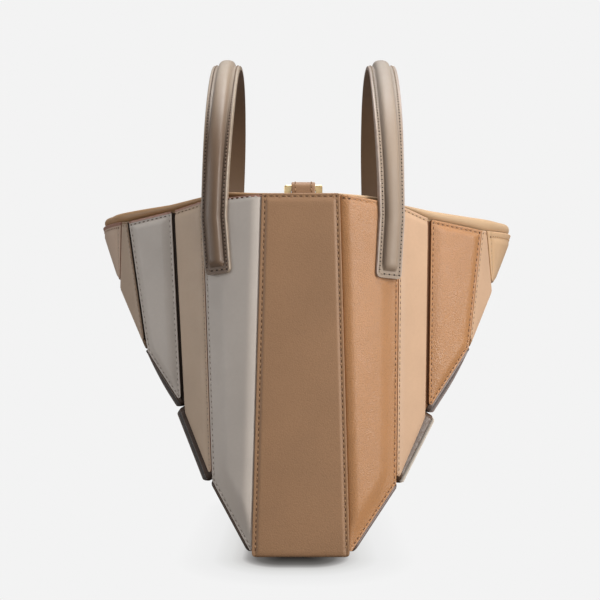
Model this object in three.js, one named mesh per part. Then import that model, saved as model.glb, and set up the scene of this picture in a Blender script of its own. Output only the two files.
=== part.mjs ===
// Leather tote bag with bellows sides and two arched handles, standing open on its narrow base.
// Millimetres, +Z up. The bag's length runs along Y, and the origin is on the floor under its middle.
import * as THREE from "three";

// Driving dimensions
const LENGTH = 350; // outer face of one gusset to the outer face of the other
const GUSSET_TOP = 30.7; // half-width of a gusset at the rim
const GUSSET_FOOT = 38.4; // half-width of a gusset at the floor
const GUSSET_RIM = 282.9; // height of a gusset
const PANEL = 3; // leather on its stiffener, without the raised padding
const GAP = 0.3; // between neighbouring pieces
const PROUD = 1.5; // the gussets and the base lie this far over the first strip
const CORNER_TRIM = 4; // length trimmed off each edge at a panel's corner
const CORNER_SHARE = 0.3; // and the most of a short edge that is trimmed

const END_PAD = { margin: 4, slope: 2.5, rise: 1.2 }; // low padding of the end panels
const RUN_PAD = { margin: 4.5, slope: 1.2, rise: 3.6 }; // slab padding along the underside
const NO_PAD = { margin: 0, slope: 0, rise: 0 };

const FACING = { thick: 2.4, tall: 30, round: 1.2, clear: 0.7, faceClear: 1.8, steps: 40 };
const STRAP = { wide: 22, thick: 3, ribWide: 12.5, ribTop: 7.5, ribRise: 3.8, ribStart: 5, ribRamp: 6 };
const ARCH = { tabSteps: 7, archSteps: 16, springZ: 275, crownZ: 409.4, untwist: 0.45 };
const LOOP = { wide: 18, wall: 1.6, legBottom: 262, eyeZ: 288.6, clear: 0.45 };
const RING = { x: 2, wide: 30, tall: 24, bar: 3.6, bevel: 0.8, cornerOut: 3, cornerIn: 1.4 };

const COLOURS = {
  tan: 0xb98a62,
  grey: 0xb5aaa3,
  caramel: 0xc98f60,
  taupe: 0xa8937d,
  cream: 0xbcac9c,
  lightTan: 0xdcb68d,
  brown: 0x8d6c50,
  underside: 0x8f7d70,
  handle: 0x9b8672,
  gold: 0xd9a85c,
};

// Each side spreads a little differently. A fold runs from the rim (topX, topZ, inset behind the gusset's face)
// down to the mitre (mitreX, mitreZ), where it turns along the underside. The strip after it is named "strip".
const SIDES = [
  {
    name: "left",
    sign: -1,
    folds: [
      { topX: GUSSET_TOP, topZ: GUSSET_RIM, inset: PROUD, mitreX: GUSSET_FOOT, mitreZ: PROUD, strip: "b" },
      { topX: 78.8, topZ: 276.3, inset: 27, mitreX: 70.6, mitreZ: 57.7, strip: "c" },
      { topX: 104.5, topZ: 271.9, inset: 54.4, mitreX: 95.5, mitreZ: 114.8, strip: "d" },
      { topX: 143.8, topZ: 265.8, inset: 78.4, mitreX: 127, mitreZ: 160.6, strip: "e" },
      { topX: 149.8, topZ: 267.3, inset: 88, mitreX: 152.3, mitreZ: 212.4 },
    ],
    face: { rimX: 173.8, rimZ: 266.5 },
    crest: [
      { x: 30, z: 284 },
      { x: 58, z: 284.6 },
      { x: 80, z: 281.5 },
      { x: 106, z: 276.6 },
      { x: 160, z: 273.6 },
    ],
    handle: { tabX: 65, tabZ: 219.5, springX: 68.3, crownX: 64.7 },
    colours: { b: "grey", c: "taupe", d: "grey", e: "cream", face: "taupe", facing: "brown" },
  },
  {
    name: "right",
    sign: 1,
    folds: [
      { topX: GUSSET_TOP, topZ: GUSSET_RIM, inset: PROUD, mitreX: GUSSET_FOOT, mitreZ: PROUD, strip: "b" },
      { topX: 78.8, topZ: 273.1, inset: 27, mitreX: 76.3, mitreZ: 55, strip: "c" },
      { topX: 105.3, topZ: 265.8, inset: 54.4, mitreX: 102.7, mitreZ: 109.7, strip: "d" },
      { topX: 150.8, topZ: 259.6, inset: 78.4, mitreX: 139, mitreZ: 162.2, strip: "e" },
      { topX: 155.2, topZ: 259.5, inset: 85.5, mitreX: 161.5, mitreZ: 209.8 },
    ],
    face: { rimX: 184.9, rimZ: 260.2 },
    crest: [
      { x: 30, z: 284 },
      { x: 58, z: 282.4 },
      { x: 80, z: 277.2 },
      { x: 106, z: 273.6 },
      { x: 150, z: 270.8 },
    ],
    handle: { tabX: 67.8, tabZ: 217.5, springX: 70.6, crownX: 71 },
    colours: { b: "caramel", c: "lightTan", d: "caramel", e: "lightTan", face: "tan", facing: "lightTan" },
  },
];

const MIDDLE = new THREE.Vector3(0, 0, 190); // a point inside the bag, to tell outside from inside
const bag = new THREE.Group();

function addPiece(name, geometry, colour, metal = false) {
  const material = new THREE.MeshStandardMaterial({
    color: COLOURS[colour],
    roughness: metal ? 0.25 : 0.55,
    metalness: metal ? 1 : 0,
  });
  const mesh = new THREE.Mesh(geometry, material);
  mesh.name = name;
  bag.add(mesh);
}

// Planes
function shifted(plane, distance) {
  return new THREE.Plane(plane.normal.clone(), plane.constant - distance);
}

function levelPlane(z) {
  return new THREE.Plane(new THREE.Vector3(0, 0, 1), -z);
}

function outwardPlane(a, b, c) {
  const plane = new THREE.Plane().setFromCoplanarPoints(a, b, c);
  return plane.distanceToPoint(MIDDLE) > 0 ? plane.negate() : plane;
}

function meet(a, b, c) {
  const rows = new THREE.Matrix3().set(
    ...a.normal.toArray(),
    ...b.normal.toArray(),
    ...c.normal.toArray(),
  );
  return new THREE.Vector3(-a.constant, -b.constant, -c.constant).applyMatrix3(rows.invert());
}

// Plane along the line p q that holds the direction "across", leaving half a gap before it.
function edgePlane(p, q, across, inside) {
  const normal = q.clone().sub(p).cross(across).normalize();
  const plane = new THREE.Plane().setFromNormalAndCoplanarPoint(normal, p);
  if (plane.distanceToPoint(inside) > 0) plane.negate();
  return shifted(plane, -GAP / 2);
}

function between(normalA, normalB) {
  return normalA.clone().add(normalB).normalize();
}

// Closed solids
function closedGeometry(points, triangles) {
  const volume = triangles.reduce((sum, [a, b, c]) => {
    return sum + points[a].dot(points[b].clone().cross(points[c]));
  }, 0);
  const outward = volume > 0 ? triangles : triangles.map(([a, b, c]) => [a, c, b]);
  const geometry = new THREE.BufferGeometry().setFromPoints(points).setIndex(outward.flat());
  geometry.computeVertexNormals();
  return geometry;
}

function fanCap(count) {
  return Array.from({ length: count - 2 }, (_, i) => [0, i + 1, i + 2]);
}

// Cap of a ring that runs up one row of points and back down the other.
function stripCap(count) {
  const last = count - 1;
  return Array.from({ length: count / 2 - 1 }, (_, i) => [
    [i, i + 1, last - i - 1],
    [i, last - i - 1, last - i],
  ]).flat();
}

function loft(rings, cap) {
  const count = rings[0].length;
  const triangles = cap.map(([a, b, c]) => [a, c, b]);
  for (let k = 0; k + 1 < rings.length; k++) {
    for (let i = 0; i < count; i++) {
      const a = k * count + i;
      const b = k * count + ((i + 1) % count);
      triangles.push([a, b, b + count], [a, b + count, a + count]);
    }
  }
  const top = (rings.length - 1) * count;
  cap.forEach(([a, b, c]) => triangles.push([top + a, top + b, top + c]));
  return closedGeometry(rings.flat(), triangles);
}

// A flat panel bounded by its edge planes, with trimmed corners and, where padded, a raised middle.
function panel(face, edges, pad) {
  const ring = (rise, margin) => {
    const corners = edges.map((edge, i) => {
      const next = edges[(i + 1) % edges.length];
      return meet(shifted(face, rise), shifted(edge, -margin), shifted(next, -margin));
    });
    return corners.flatMap((corner, i) => {
      const neighbours = [corners.at(i - 1), corners[(i + 1) % corners.length]];
      return neighbours.map((other) => {
        const length = corner.distanceTo(other);
        return corner.clone().lerp(other, Math.min(CORNER_TRIM / length, CORNER_SHARE));
      });
    });
  };
  const rings = [ring(-PANEL, 0), ring(0, 0)];
  if (pad.rise > 0) rings.push(ring(0, pad.margin), ring(pad.rise, pad.margin + pad.slope));
  return loft(rings, fanCap(2 * edges.length));
}

// Gussets and base
const GUSSET_FACE = LENGTH / 2;

function gusset(end) {
  const y = end * GUSSET_FACE;
  const across = new THREE.Vector3(0, 1, 0);
  const inside = new THREE.Vector3(0, y, GUSSET_RIM / 2);
  const corner = (sign, z) => new THREE.Vector3(sign * (z > 0 ? GUSSET_TOP : GUSSET_FOOT), y, z);
  const face = outwardPlane(corner(-1, 0), corner(1, 0), corner(1, GUSSET_RIM));
  const side = (sign) => edgePlane(corner(sign, 0), corner(sign, GUSSET_RIM), across, inside);
  const floor = levelPlane(0).negate();
  return panel(face, [floor, side(1), levelPlane(GUSSET_RIM), side(-1)], NO_PAD);
}

function basePanel() {
  const face = levelPlane(0).negate();
  const endY = GUSSET_FACE - PANEL;
  const up = new THREE.Vector3(0, 0, 1);
  const corner = (sx, sy) => new THREE.Vector3(sx * GUSSET_FOOT, sy * endY, 0);
  const ring = [corner(1, -1), corner(1, 1), corner(-1, 1), corner(-1, -1)];
  const edges = ring.map((p, i) => edgePlane(p, ring[(i + 1) % ring.length], up, new THREE.Vector3()));
  return panel(face, edges, NO_PAD);
}

// Fold points and panel planes of one side. Each end panel is kept flat: a mitre's depth follows from its panel.
function foldPoints(side) {
  const tops = side.folds.map((f) => new THREE.Vector3(side.sign * f.topX, f.inset - GUSSET_FACE, f.topZ));
  const mitres = [];
  side.folds.forEach((f, i) => {
    const mitre = new THREE.Vector3(side.sign * f.mitreX, f.inset - GUSSET_FACE, f.mitreZ);
    if (i > 0) {
      const plane = outwardPlane(tops[i - 1], mitres[i - 1], tops[i]);
      mitre.y -= plane.distanceToPoint(mitre) / plane.normal.y;
    }
    mitres.push(mitre);
  });
  return { tops, mitres };
}

function flipY(point) {
  return new THREE.Vector3(point.x, -point.y, point.z);
}

// The bowed middle panel of a main face: u runs along the bag from -1 to 1, v from its lower edge to the rim.
function faceSurface(side, tops, mitres) {
  const top = tops[4];
  const foot = mitres[4];
  return (u, v) => {
    const bow = 1 - u * u;
    const edgeX = THREE.MathUtils.lerp(foot.x, top.x, v);
    const crownX = THREE.MathUtils.lerp(foot.x, side.sign * side.face.rimX, v ** 0.6);
    const rimZ = THREE.MathUtils.lerp(top.z, side.face.rimZ, bow);
    return new THREE.Vector3(
      THREE.MathUtils.lerp(edgeX, crownX, bow),
      -u * THREE.MathUtils.lerp(foot.y, top.y, v),
      THREE.MathUtils.lerp(foot.z, rimZ, v),
    );
  };
}

function faceNormal(surface, side, u, v) {
  const step = 0.04;
  const along = surface(Math.min(u + step, 1), v).sub(surface(Math.max(u - step, -1), v));
  const up = surface(u, Math.min(v + step, 1)).sub(surface(u, Math.max(v - step, 0)));
  const normal = along.cross(up).normalize();
  return normal.x * side.sign < 0 ? normal.negate() : normal;
}

function facePanel(side, surface, edgeAcross, footAcross) {
  const columns = [-1, -0.8, -0.6, -0.4, -0.2, 0, 0.2, 0.4, 0.6, 0.8, 1];
  const rows = [0, 0.12, 0.35, 0.65, 1];
  const rings = columns.map((u) => {
    const points = rows.map((v) => {
      const atEdge = Math.abs(u) === 1;
      const outer = surface(u, v);
      const normal = faceNormal(surface, side, u, v);
      const across = atEdge ? edgeAcross(u) : v === 0 ? footAcross : normal;
      outer.y -= atEdge ? Math.sign(u) * 2 * GAP : 0;
      outer.z += v === 0 ? 4 * GAP : 0;
      const depth = PANEL / Math.max(across.dot(normal), 0.7);
      const inner = outer.clone().addScaledVector(across, -depth);
      if (v === 1) inner.z = outer.z;
      return { outer, inner };
    });
    return [...points.map((p) => p.outer), ...points.map((p) => p.inner).reverse()];
  });
  return loft(rings, stripCap(2 * rows.length));
}

// The band inside the rim: a smooth curve through the inner corners of the folds, at its top and at its foot.
function facingBand(side, planes, surface, mitres) {
  const inward = -(PANEL + FACING.clear);
  const crestAt = (x) => {
    const rows = side.crest;
    const i = rows.findIndex((row) => row.x >= x);
    if (i <= 0) return i < 0 ? rows[rows.length - 1].z : rows[0].z;
    const share = (x - rows[i - 1].x) / (rows[i].x - rows[i - 1].x);
    return THREE.MathUtils.lerp(rows[i - 1].z, rows[i].z, share);
  };
  const facePoint = (u, drop) => {
    const rim = surface(u, 1).z;
    const v = Math.min(1 - (drop - crestAt(Math.abs(surface(u, 1).x)) + rim) / (rim - mitres[4].z), 1);
    return surface(u, v).addScaledVector(faceNormal(surface, side, u, v), -(PANEL + FACING.faceClear));
  };
  const curve = (drop) => {
    const fold = (a, b, x) => meet(shifted(a, inward), shifted(b, inward), levelPlane(crestAt(x) - drop));
    const half = [
      fold(planes.gusset, planes.end[0], GUSSET_TOP),
      fold(planes.end[1], planes.end[2], side.folds[2].topX),
      facePoint(-0.96, drop),
      facePoint(-0.66, drop),
      facePoint(-0.33, drop),
    ];
    const route = [...half, facePoint(0, drop), ...half.map(flipY).reverse()];
    return new THREE.CatmullRomCurve3(route, false, "centripetal").getPoints(FACING.steps);
  };
  const high = curve(FACING.round);
  const low = curve(FACING.tall);
  const rings = high.map((point, i) => {
    const before = high[Math.max(i - 1, 0)];
    const after = high[Math.min(i + 1, high.length - 1)];
    const inside = new THREE.Vector3(0, 0, side.sign).cross(after.clone().sub(before)).normalize();
    const top = point.clone();
    const bottom = low[i].clone();
    top.z = crestAt(Math.abs(top.x)) - FACING.round;
    bottom.z = crestAt(Math.abs(top.x)) - FACING.tall;
    const crest = top.clone().addScaledVector(inside, FACING.thick / 2);
    crest.z += FACING.round;
    return [
      bottom,
      top,
      crest,
      top.clone().addScaledVector(inside, FACING.thick),
      bottom.clone().addScaledVector(inside, FACING.thick),
    ];
  });
  return loft(rings, fanCap(5));
}

// Handle: a strap with a raised rib, sewn flat on strip b at both ends, arching from the near end to the far end.
function handle(side, seat) {
  const { tabX, tabZ, springX, crownX } = side.handle;
  const rest = shifted(seat, END_PAD.rise + GAP);
  const onSeat = (x, z) => {
    const point = new THREE.Vector3(side.sign * x, 0, z);
    point.y -= rest.distanceToPoint(point) / rest.normal.y;
    return point;
  };
  const spring = onSeat(springX, ARCH.springZ);
  const stations = [];
  for (let i = 0; i < ARCH.tabSteps; i++) {
    const share = i / ARCH.tabSteps;
    const climb = share * share * (ARCH.springZ - tabZ) * 0.5 + share * (ARCH.springZ - tabZ) * 0.5;
    stations.push({ at: onSeat(tabX + (springX - tabX) * share, tabZ + climb), out: seat.normal, climb });
  }
  for (let i = 0; i <= ARCH.archSteps; i++) {
    const angle = ((i / ARCH.archSteps) * Math.PI) / 2;
    const rise = Math.sin(angle);
    const at = new THREE.Vector3(
      side.sign * THREE.MathUtils.lerp(springX, crownX, rise),
      spring.y * Math.cos(angle),
      THREE.MathUtils.lerp(ARCH.springZ, ARCH.crownZ, rise),
    );
    const round = new THREE.Vector3(0, -Math.cos(angle) / -spring.y, rise / (ARCH.crownZ - ARCH.springZ));
    const turn = THREE.MathUtils.smoothstep(angle, 0, ARCH.untwist);
    stations.push({ at, out: seat.normal.clone().lerp(round.normalize(), turn), climb: ARCH.springZ });
  }
  const near = stations.map((station, i) => {
    const before = stations[Math.max(i - 1, 0)].at;
    const after = stations[Math.min(i + 1, stations.length - 1)].at;
    const along = i === stations.length - 1 ? new THREE.Vector3(0, 1, 0) : after.clone().sub(before).normalize();
    const wide = along.clone().cross(station.out).normalize();
    const out = wide.clone().cross(along).normalize();
    const rib = THREE.MathUtils.smoothstep(station.climb, STRAP.ribStart, STRAP.ribStart + STRAP.ribRamp);
    const half = STRAP.wide / 2 - (i === 0 ? CORNER_TRIM / 2 : 0);
    const ribTop = STRAP.thick + rib * STRAP.ribRise;
    const profile = [
      [-half, 0],
      [half, 0],
      [half, STRAP.thick],
      [STRAP.ribWide / 2, STRAP.thick],
      [STRAP.ribWide / 2 - 1, STRAP.thick + rib * STRAP.ribRise * 0.7],
      [STRAP.ribTop / 2, ribTop],
      [-STRAP.ribTop / 2, ribTop],
      [1 - STRAP.ribWide / 2, STRAP.thick + rib * STRAP.ribRise * 0.7],
      [-STRAP.ribWide / 2, STRAP.thick],
      [-half, STRAP.thick],
    ];
    return profile.map(([a, b]) => station.at.clone().addScaledVector(wide, a).addScaledVector(out, b));
  });
  const far = near.slice(0, -1).map((ring) => ring.map(flipY)).reverse();
  return loft([...near, ...far], fanCap(near[0].length));
}

// Leather loop behind the gusset's rim, folded round the ring's bar and closed below it.
const EYE_RADIUS = RING.bar / 2 + LOOP.clear;
const EYE_Y = GUSSET_FACE - PANEL - GAP - EYE_RADIUS - LOOP.wall;

function placeAtEnd(geometry, end, tilt) {
  geometry.rotateX(tilt);
  geometry.translate(0, -EYE_Y, LOOP.eyeZ);
  if (end > 0) geometry.rotateZ(Math.PI).translate(2 * RING.x, 0, 0);
  return geometry;
}

function ringLoop(end) {
  const outer = EYE_RADIUS + LOOP.wall;
  const legs = 2 * LOOP.wall;
  const drop = LOOP.legBottom - LOOP.eyeZ;
  const shape = new THREE.Shape();
  shape.moveTo(-outer, drop);
  shape.lineTo(-outer + legs, drop);
  shape.lineTo(-outer + legs, -1.6 * outer);
  shape.lineTo(outer * 0.8, -0.6 * outer);
  shape.absarc(0, 0, outer, -0.6, Math.PI, false);
  shape.closePath();
  shape.holes.push(new THREE.Path().absarc(0, 0, EYE_RADIUS, 0, 2 * Math.PI, true));
  const geometry = new THREE.ExtrudeGeometry(shape, { depth: LOOP.wide, bevelEnabled: false, curveSegments: 12 });
  // The outline's axes become Y and Z, and its depth runs along X.
  const axes = new THREE.Matrix4().makeBasis(
    new THREE.Vector3(0, 1, 0),
    new THREE.Vector3(0, 0, 1),
    new THREE.Vector3(1, 0, 0),
  );
  geometry.applyMatrix4(axes).translate(RING.x - LOOP.wide / 2, 0, 0);
  return placeAtEnd(geometry, end, 0);
}

function roundedOutline(path, halfWide, low, high, radius) {
  path.moveTo(-halfWide + radius, low);
  path.lineTo(halfWide - radius, low);
  path.absarc(halfWide - radius, low + radius, radius, -Math.PI / 2, 0, false);
  path.lineTo(halfWide, high - radius);
  path.absarc(halfWide - radius, high - radius, radius, 0, Math.PI / 2, false);
  path.lineTo(-halfWide + radius, high);
  path.absarc(-halfWide + radius, high - radius, radius, Math.PI / 2, Math.PI, false);
  path.lineTo(-halfWide, low + radius);
  path.absarc(-halfWide + radius, low + radius, radius, Math.PI, 1.5 * Math.PI, false);
  return path;
}

// The ring hangs from its upper bar into the bag, its lower bar lying against the loop.
function strapRing(end) {
  const half = RING.bar / 2;
  const inset = RING.bevel;
  const top = half - inset;
  const bottom = top + 2 * inset - RING.tall;
  const shape = roundedOutline(new THREE.Shape(), RING.wide / 2 - inset, bottom, top, RING.cornerOut);
  const eye = roundedOutline(
    new THREE.Path(),
    RING.wide / 2 - RING.bar + inset,
    bottom + RING.bar - 2 * inset,
    -half + inset,
    RING.cornerIn,
  );
  shape.holes.push(eye);
  const geometry = new THREE.ExtrudeGeometry(shape, {
    depth: RING.bar - 2 * inset,
    bevelEnabled: true,
    bevelSize: inset,
    bevelThickness: inset,
    bevelSegments: 1,
    curveSegments: 4,
  });
  geometry.translate(RING.x, 0, inset - half);
  geometry.rotateX(Math.PI / 2);
  const legBack = -EYE_RADIUS - LOOP.wall + 2 * LOOP.wall;
  const tilt = Math.atan2(legBack + half + GAP, RING.tall - RING.bar);
  return placeAtEnd(geometry, end, tilt);
}

// Assembly
const ENDS = [
  { name: "near", sign: -1, turn: (p) => p },
  { name: "far", sign: 1, turn: flipY },
];

ENDS.forEach((end) => {
  addPiece(`gusset_${end.name}`, gusset(end.sign), "tan");
  addPiece(`ring_loop_${end.name}`, ringLoop(end.sign), "tan");
  addPiece(`strap_ring_${end.name}`, strapRing(end.sign), "gold", true);
});
addPiece("base", basePanel(), "tan");

SIDES.forEach((side) => {
  const { tops, mitres } = foldPoints(side);
  const surface = faceSurface(side, tops, mitres);
  const endPlanes = side.folds.slice(0, 4).map((_, i) => outwardPlane(tops[i], mitres[i], tops[i + 1]));
  const runPlanes = side.folds.slice(0, 4).map((_, i) => outwardPlane(mitres[i], mitres[i + 1], flipY(mitres[i])));
  const sideEdge = faceNormal(surface, side, -0.9, 0.5);
  const lowEdge = faceNormal(surface, side, 0, 0.12);
  const endNormals = [new THREE.Vector3(0, -1, 0), ...endPlanes.map((p) => p.normal), sideEdge];
  const runNormals = [new THREE.Vector3(0, 0, -1), ...runPlanes.map((p) => p.normal), lowEdge];

  side.folds.slice(0, 4).forEach((fold, i) => {
    const endCentre = tops[i].clone().add(mitres[i]).add(tops[i + 1]).add(mitres[i + 1]).divideScalar(4);
    const runCentre = mitres[i].clone().add(mitres[i + 1]).divideScalar(2).setY(0);
    const firstAcross = (normals) => (i === 0 ? normals[0] : between(normals[i], normals[i + 1]));
    const mitreAcross = between(endPlanes[i].normal, runPlanes[i].normal);

    ENDS.forEach((end) => {
      const turned = (v) => end.turn(v);
      const seam = (p, q, across) => edgePlane(turned(p), turned(q), turned(across), turned(endCentre));
      const rimAcross = endPlanes[i].normal.clone().setZ(0);
      const edges = [
        seam(tops[i], mitres[i], firstAcross(endNormals)),
        seam(mitres[i], mitres[i + 1], mitreAcross),
        seam(mitres[i + 1], tops[i + 1], between(endNormals[i + 1], endNormals[i + 2])),
        seam(tops[i + 1], tops[i], rimAcross),
      ];
      const face = outwardPlane(turned(tops[i]), turned(mitres[i]), turned(tops[i + 1]));
      const pad = fold.strip === "e" ? NO_PAD : END_PAD;
      addPiece(`strip_${side.name}_${fold.strip}_${end.name}`, panel(face, edges, pad), side.colours[fold.strip]);
    });

    const runSeam = (p, q, across) => edgePlane(p, q, across, runCentre);
    const runEdges = [
      runSeam(mitres[i], flipY(mitres[i]), firstAcross(runNormals)),
      runSeam(flipY(mitres[i]), flipY(mitres[i + 1]), flipY(mitreAcross)),
      runSeam(flipY(mitres[i + 1]), mitres[i + 1], between(runNormals[i + 1], runNormals[i + 2])),
      runSeam(mitres[i + 1], mitres[i], mitreAcross),
    ];
    addPiece(`strip_${side.name}_${fold.strip}_bottom`, panel(runPlanes[i], runEdges, RUN_PAD), "underside");
  });

  const edgeAcross = between(endNormals[4], sideEdge);
  const footAcross = between(runNormals[4], lowEdge);
  const towardEnd = (u) => (u < 0 ? edgeAcross : flipY(edgeAcross));
  addPiece(`face_${side.name}`, facePanel(side, surface, towardEnd, footAcross), side.colours.face);

  const planes = { gusset: new THREE.Plane(endNormals[0], -GUSSET_FACE), end: endPlanes };
  addPiece(`facing_${side.name}`, facingBand(side, planes, surface, mitres), side.colours.facing);
  addPiece(`handle_${side.name}`, handle(side, endPlanes[0]), "handle");
});

export default bag;
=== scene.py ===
import math
import bpy
import numpy as np
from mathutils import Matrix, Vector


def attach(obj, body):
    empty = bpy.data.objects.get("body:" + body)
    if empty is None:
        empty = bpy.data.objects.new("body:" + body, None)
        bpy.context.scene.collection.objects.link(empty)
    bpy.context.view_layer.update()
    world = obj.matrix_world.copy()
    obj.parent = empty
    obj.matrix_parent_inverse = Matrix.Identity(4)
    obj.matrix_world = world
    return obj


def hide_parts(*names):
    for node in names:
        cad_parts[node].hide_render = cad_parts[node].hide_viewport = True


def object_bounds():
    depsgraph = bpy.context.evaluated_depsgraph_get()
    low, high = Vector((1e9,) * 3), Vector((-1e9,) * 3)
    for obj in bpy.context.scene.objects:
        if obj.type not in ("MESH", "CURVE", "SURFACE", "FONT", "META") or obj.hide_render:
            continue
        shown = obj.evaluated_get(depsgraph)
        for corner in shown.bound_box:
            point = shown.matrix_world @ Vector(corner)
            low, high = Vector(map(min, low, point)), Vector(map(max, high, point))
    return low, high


# leather tote with bellows sides, seen at one narrow end
# shapes are worked out in mm, in the frame's own axes
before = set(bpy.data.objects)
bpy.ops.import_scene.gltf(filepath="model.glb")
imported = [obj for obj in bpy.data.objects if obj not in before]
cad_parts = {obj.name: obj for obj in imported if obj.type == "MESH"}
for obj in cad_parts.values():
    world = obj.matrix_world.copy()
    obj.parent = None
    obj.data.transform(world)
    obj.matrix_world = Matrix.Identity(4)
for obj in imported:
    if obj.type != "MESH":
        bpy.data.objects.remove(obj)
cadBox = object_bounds()
mm = 0.001
scene = bpy.context.scene


# small maths
def vec(x, y, z):
    return np.array([x, y, z], float)


def unit(v):
    return v / np.linalg.norm(v, axis=-1, keepdims=True)


def lerp(a, b, t):
    return a + (b - a) * t


def smooth(t):
    t = np.clip(t, 0.0, 1.0)
    return t * t * (3.0 - 2.0 * t)


def bell(distance, centre, wide):
    return np.exp(-((distance - centre) / wide) ** 2)


def rollOff(share):
    # drop of a rounded edge, from 0 on the flat to nearly 1 at the very edge
    return 1 - np.sqrt(1 - np.minimum(share, 0.995) ** 2)


def flipY(points):
    return np.asarray(points) * vec(1, -1, 1)


def linear(hexColour, shade=1.0):
    parts = [int(hexColour[i:i + 2], 16) / 255.0 for i in (0, 2, 4)]
    toned = [c / 12.92 if c <= 0.04045 else ((c + 0.055) / 1.055) ** 2.4 for c in parts]
    return tuple(min(c * shade, 1.0) for c in toned) + (1.0,)


# camera, floor and lights, in metres, watts and degrees
cameraSet = {"place": (-0.0006, -1.423, 0.177), "tiltUp": 1.074, "focalPixels": 1600, "imagePixels": 600,
             "sensor": 36, "farthest": 50}
stageSet = {"paper": "f3f3f3", "bounce": "8a8580", "floorSize": 6.0, "floorBelow": 0.0002, "ambient": 0.12}
# painted shadow on the paper: its darkness by distance from the foot of either gusset, where 1 is the edge of
# the shadow
paintedShadowSet = {"centre": (0.004, 0, 0), "foot": (0.01, 0.175, 0), "across": 0.032, "ahead": 0.055,
             "reach": 2.6,
             "tones": ((0.0, "2e2c2a"), (0.3, "494745"), (0.62, "6b6967"), (0.85, "a09e9d"),
                       (1.0, "cfcecd"), (1.25, "dfdfde"), (1.7, "ececec"), (2.6, "f3f3f3"))}
lightSet = {
    "key": {"at": (1.62, -1.32, 0.74), "aim": (0, -0.05, 0.22), "wide": 0.75, "tall": 1.9, "power": 49,
            "tint": (1.0, 0.985, 0.96)},
    "top": {"at": (0.3, -0.2, 2.2), "aim": (0, 0, 0.25), "wide": 1.4, "tall": 1.4, "power": 46,
            "tint": (1.0, 1.0, 1.0)},
    "left": {"at": (-2.1, -0.55, 0.55), "aim": (-0.05, -0.05, 0.2), "wide": 1.4, "tall": 1.4, "power": 18,
             "tint": (0.97, 0.985, 1.0)},
    "front": {"at": (0.15, -3.3, 0.4), "aim": (0, -0.1, 0.2), "wide": 1.8, "tall": 1.8, "power": 9,
              "tint": (1.0, 1.0, 1.0)},
    "back": {"at": (-0.3, 1.3, 2.3), "aim": (0, 0, 0.2), "wide": 1.6, "tall": 1.6, "power": 9,
             "tint": (1.0, 0.99, 0.97)},
}


def makeCamera():
    data = bpy.data.cameras.new("camera")
    data.sensor_width = cameraSet["sensor"]
    data.lens = cameraSet["sensor"] * cameraSet["focalPixels"] / cameraSet["imagePixels"]
    data.clip_end = cameraSet["farthest"]
    camera = bpy.data.objects.new("camera", data)
    camera.location = cameraSet["place"]
    camera.rotation_euler = (math.radians(90 + cameraSet["tiltUp"]), 0, 0)
    scene.collection.objects.link(camera)
    scene.camera = camera


def makeLights():
    for name, light in lightSet.items():
        data = bpy.data.lights.new(name, "AREA")
        data.energy = light["power"]
        data.shape = "RECTANGLE"
        data.size = light["wide"]
        data.size_y = light["tall"]
        data.color = light["tint"]
        lamp = bpy.data.objects.new(name, data)
        lamp.location = light["at"]
        away = vec(*light["at"]) - vec(*light["aim"])
        tip = math.acos(away[2] / np.linalg.norm(away))
        lamp.rotation_euler = (tip, 0, math.atan2(away[1], away[0]) + math.pi / 2)
        scene.collection.objects.link(lamp)


def seenOrLit(tree, lit, seen, output):
    # one shader for what the camera sees, and another for the light that the bag gets from there
    path = tree.nodes.new("ShaderNodeLightPath")
    pick = tree.nodes.new("ShaderNodeMixShader")
    tree.links.new(path.outputs["Is Camera Ray"], pick.inputs[0])
    tree.links.new(lit, pick.inputs[1])
    tree.links.new(seen, pick.inputs[2])
    tree.links.new(pick.outputs[0], tree.nodes[output].inputs["Surface"])


def makeWorld():
    scene.view_settings.view_transform = "Standard"
    world = bpy.data.worlds.new("studio")
    world.use_nodes = True
    scene.world = world
    tree = world.node_tree
    room = tree.nodes["Background"]
    room.inputs["Color"].default_value = (1, 1, 1, 1)
    room.inputs["Strength"].default_value = stageSet["ambient"]
    seen = tree.nodes.new("ShaderNodeBackground")
    seen.inputs["Color"].default_value = linear(stageSet["paper"])
    seenOrLit(tree, room.outputs[0], seen.outputs[0], "World Output")


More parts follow.
